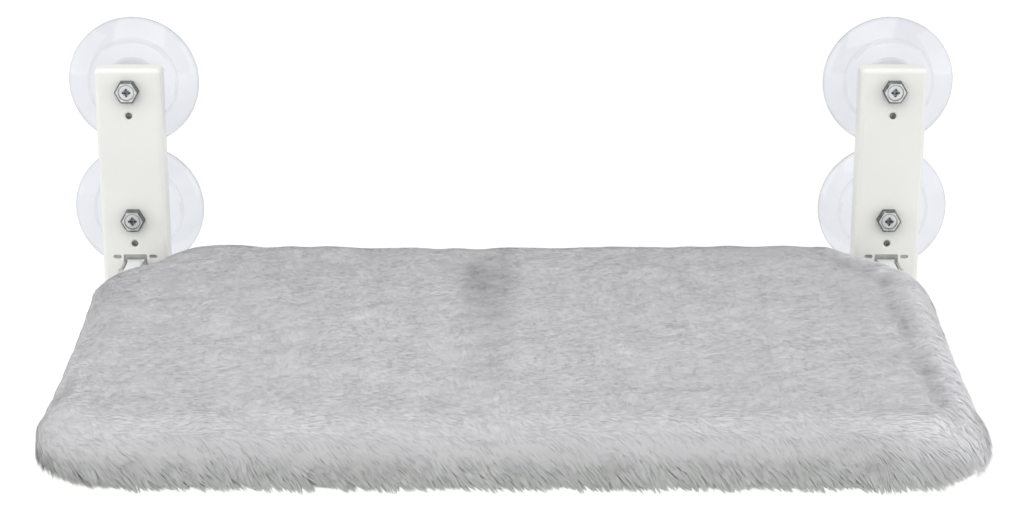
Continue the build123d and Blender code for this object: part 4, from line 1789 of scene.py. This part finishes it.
    def comb(self, bed: PlushBed, roots: Points, normals: Points, top: Points) -> Points:
        """Which way the pile lies, along the skin.

        Args:
            bed: The bed's sizes.
            roots: Where the strands stand.
            normals: The skin's normals there.
            top: Where the skin faces up, as a share.

        Returns:
            A direction in the skin for each root.
        """
        degrees = self.comb_degrees + self.crease_comb_degrees * bed.crease.at(roots[:, 0])
        turn = np.radians(degrees + self.slow_comb.at(roots) + self.quick_comb.at(roots))
        flat = np.column_stack([np.cos(turn), np.sin(turn), np.zeros(len(roots))])
        hang = np.tile(self.hang_way, (len(roots), 1))
        hang[:, 0] += self.hang_waver.at(roots)
        way = flat * top[:, None] + hang * (1 - top)[:, None]
        way = way - normals * np.sum(way * normals, axis=1, keepdims=True)
        return unit(way)

    def curves(self, roots: Points, ahead: Points, bend: Points, length: Points) -> Points:
        """The strands' centre lines.

        Args:
            roots: Where the strands stand.
            ahead: Their directions at the root.
            bend: How they turn on the way.
            length: Their lengths.

        Returns:
            Points by strand, mark and axis.
        """
        shares = self.mark_shares
        lines = [roots + length[:, None] * (share * ahead + share * share * bend) for share in shares]
        return np.stack(lines, axis=1)

    def follow(self, mesh: bpy.types.Mesh, lines: Points, heights: Points, share: Points) -> None:
        """Bends the strands along the skin's curve, each point at its own height over it.

        Args:
            mesh: The skin's mesh.
            lines: The strands' centre lines, which it changes.
            heights: The height of each point of each line.
            share: How closely each strand follows the skin, from 0 to 1.
        """
        places, normals = places_of(mesh), normals_of(mesh)
        close = np.flatnonzero(share > self.least_hug)
        for mark_number in range(1, lines.shape[1]):
            here = lines[close, mark_number]
            nearest = nearest_of(places, here)
            above = np.sum((here - places[nearest]) * normals[nearest], axis=1)
            move = (heights[close, mark_number] - above) * share[close]
            lines[close, mark_number] += normals[nearest] * move[:, None]

    def gather(self, lines: Points, rng: np.random.Generator, pull: Points) -> Points:
        """Draws the strands' tips together into tufts.

        Args:
            lines: The strands' centre lines.
            rng: The pile's random numbers.
            pull: How strongly each strand is drawn, from 0 to 1.

        Returns:
            The gathered centre lines.
        """
        leaders = rng.choice(len(lines), int(len(lines) * self.tuft_share), replace=False)
        leader_lines = lines[leaders[nearest_of(lines[leaders, 0], lines[:, 0])]]
        last = lines.shape[1] - 1
        gathered = lines.copy()
        for mark_number in range(1, last + 1):
            share = (mark_number / last) ** self.tuft_power
            step = leader_lines[:, mark_number] - lines[:, mark_number]
            gathered[:, mark_number] += step * (pull * share)[:, None]
        return gathered

    def strand_mesh(
        self, name: str, normals: Points, lines: Points, width: Points, shade: Points
    ) -> bpy.types.Object:
        """One piece of pile, made of closed tapered strands with three sides.

        Args:
            name: The piece's name.
            normals: The skin's normals at the strands' roots.
            lines: The strands' centre lines.
            width: Their widths at the root.
            shade: How much lighter or darker each strand is.

        Returns:
            The piece, with its normals drawn towards the skin's and a map that gives each strand a place.
        """
        count, rings = len(lines), lines.shape[1] - 2
        along = unit(np.gradient(lines, axis=1))
        sideways = unit(np.cross(along, normals[:, None, :]))
        above = np.cross(sideways, along)
        half = width[:, None] * np.linspace(1.0, self.taper_share, rings) / 2
        verts, shading, behind = [lines[:, 0]], [normals], [-above[:, 0]]
        for ring in range(rings):
            centre, out, up = lines[:, ring + 1], sideways[:, ring + 1], above[:, ring + 1]
            wide, high = out * half[:, ring, None], up * half[:, ring, None] * self.thickness_share
            verts += [centre - wide, centre + high, centre + wide]
            lean, aside = normals + up * self.lean, out * self.lean
            shading += [unit(lean - aside), unit(lean), unit(lean + aside)]
            behind += [-up] * 3
        verts.append(lines[:, -1])
        shading.append(unit(normals + above[:, -1] * self.tip_lean))
        behind.append(-above[:, -1])
        per = rings * 3 + 2
        points = np.stack(verts, axis=1).reshape(-1, 3)
        faces = []
        for i in range(3):
            j = (i + 1) % 3
            faces.append((0, 1 + j, 1 + i))
            for ring in range(rings - 1):
                a, b = 1 + ring * 3, 4 + ring * 3
                faces += [(a + i, a + j, b + j), (a + i, b + j, b + i)]
            faces.append((per - 4 + i, per - 4 + j, per - 1))
        all_faces = (np.arange(count)[:, None, None] * per + np.array(faces)[None]).reshape(-1, 3)
        mesh = bpy.data.meshes.new(name)
        mesh.vertices.add(len(points))
        mesh.vertices.foreach_set("co", points.astype(np.float32).ravel())
        mesh.loops.add(all_faces.size)
        mesh.loops.foreach_set("vertex_index", all_faces.astype(np.int32).ravel())
        mesh.polygons.add(len(all_faces))
        mesh.polygons.foreach_set("loop_start", np.arange(0, all_faces.size, 3, dtype=np.int32))
        mesh.update(calc_edges=True)
        mesh.shade_smooth()
        mark(mesh, "shade", np.repeat(shade, per))
        layer = mesh.uv_layers.new(name="OFBake")
        layer.uv.foreach_set("vector", self.map_spots(count, rings)[all_faces.ravel()].ravel())
        sides = (np.stack(rows, axis=1)[:, faces].reshape(count, 3, -1, 9) for rows in (shading, behind))
        outer, inner = sides
        # A strand's third side lies towards the skin, and with the others' normals it would look black.
        outer[:, 2] = inner[:, 2]
        mesh.normals_split_custom_set(outer.reshape(-1, 3).tolist())
        piece = bpy.data.objects.new(name, mesh)
        bpy.context.scene.collection.objects.link(piece)
        return piece

    def map_spots(self, count: int, rings: int) -> Points:
        """Where each point of a piece lies on its map, with a square of its own for each strand.

        Args:
            count: How many strands the piece has.
            rings: How many rings of three points each has.

        Returns:
            Rows of two coordinates, from 0 to 1.
        """
        grid = math.ceil(math.sqrt(count))
        cell = np.arange(count)
        corner = np.column_stack([cell % grid, cell // grid])[:, None, :] / grid
        first, last = self.map_ends
        across = [self.map_start + self.map_step * i for i in range(3)]
        middle = [(share, (ring + 1) / (rings + 1)) for ring in range(rings) for share in across]
        inside = np.array([(0.5, first), *middle, (0.5, last)])
        return (corner + inside[None] / grid).reshape(-1, 2).astype(np.float32)


class Finishes:
    """The part's materials, each built once."""

    def __init__(self, effects: Effects) -> None:
        """Builds the materials.

        Args:
            effects: The shared node groups.
        """
        spares = tuple((COLUMN_X, z - SPARE_DROP) for z in (ROW_Z, -ROW_Z))
        self.bracket_paint = PowderCoat("bracket_paint", (0.81, 0.812, 0.775), spares).make(effects)
        self.frame_paint = PowderCoat("frame_paint", (0.785, 0.79, 0.795)).make(effects)
        self.bolt_zinc = PlatedSteel("bolt_zinc", (0.74, 0.76, 0.76), 0.28, bolt=True).make(effects)
        # The hinge's zinc is given darker than the bolts': partly its own grey, partly painted shade for the
        # gaps beside the hinge's arm.
        self.hinge_zinc_and_shade = PlatedSteel("hinge_zinc_and_shade", (0.60, 0.61, 0.60), 0.45).make(effects)
        self.clear_vinyl = ClearVinyl("clear_vinyl").make(effects)
        self.nylon = Moulded("nylon", (0.72, 0.72, 0.69), 0.5, 900.0, 0.00003, 0.02).make(effects)
        self.thread = Moulded("sewing_thread", (0.42, 0.43, 0.44), 0.8, 2500.0, 0.00004, 0.05).make(effects)
        self.plywood = SawnPlywood(
            "plywood", (0.66, 0.50, 0.32), (0.52, 0.36, 0.20), (0.74, 0.60, 0.42)
        ).make(effects)
        self.foam = OpenCellFoam("foam", (0.82, 0.80, 0.72), (0.50, 0.47, 0.38)).make(effects)
        self.lining = Woven("lining", (0.30, 0.31, 0.32), (0.12, 0.12, 0.13), 0.0009).make(effects)
        self.tape = Woven("closure_tape", (0.16, 0.16, 0.17), (0.05, 0.05, 0.06), 0.0016).make(effects)
        # The cloth is a little darker than the pile: painted shade that makes the gaps between strands read
        # like the strands. On both, the edge colour is painted shade down the sides and the foot colour a
        # painted greenish tone, lighter on the pile.
        self.plush_cloth = Plush(
            "plush_cloth", (0.64, 0.64, 0.655), (0.55, 0.55, 0.558), (0.55, 0.56, 0.54)
        ).make(effects)
        self.plush_pile = Plush(
            "plush_pile", (0.66, 0.66, 0.675), (0.606, 0.606, 0.614), (0.665, 0.678, 0.655)
        ).make(effects)


class Hardware:
    """The rigid CAD nodes, which keep their shapes and get their finishes."""

    def dress_all(self, finishes: Finishes) -> None:
        """Gives every rigid node its material.

        Args:
            finishes: The part's materials.
        """
        for side in SIDES:
            self.dress_node(f"{side}_bracket", finishes.bracket_paint)
            self.dress_node(f"{side}_hinge_ears", finishes.hinge_zinc_and_shade)
            self.dress_node(f"{side}_hinge_pin", finishes.hinge_zinc_and_shade)
            self.dress_node(f"{side}_hinge_block", finishes.nylon)
            self.dress_node(f"{side}_cup_bolts", finishes.bolt_zinc)
            self.dress_node(f"{side}_cup_inserts", finishes.bolt_zinc)
            for row in ROWS:
                self.dress_node(f"{row}_{side}_cup", finishes.clear_vinyl)
        for name in ("front_frame", "rear_rail", "left_slat", "centre_slat", "right_slat"):
            self.dress_node(name, finishes.frame_paint)
        self.dress_node("deck_board", finishes.plywood)
        for kind in ("hook", "loop"):
            self.dress_node(f"closure_{kind}_tape", finishes.tape)

    @staticmethod
    def dress_node(name: str, material: bpy.types.Material) -> None:
        """Gives one CAD node its material.

        Args:
            name: The node's name.
            material: Its finish.
        """
        dress(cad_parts[name], material)
        log.info("%s: %s", name, material.name)


def main() -> None:
    """Builds the studio, the finishes and the pieces in order."""
    logging.basicConfig(level=logging.INFO, format="%(name)s %(message)s")
    Studio().set_up()
    finishes = Finishes(Effects())
    Hardware().dress_all(finishes)
    bed = PlushBed()
    skin = bed.make(finishes)
    Pile().grow(bed, skin, finishes)
    FoamPad().make(finishes)
    UndersidePanel().make(finishes)


if __name__ == "__main__":
    main()
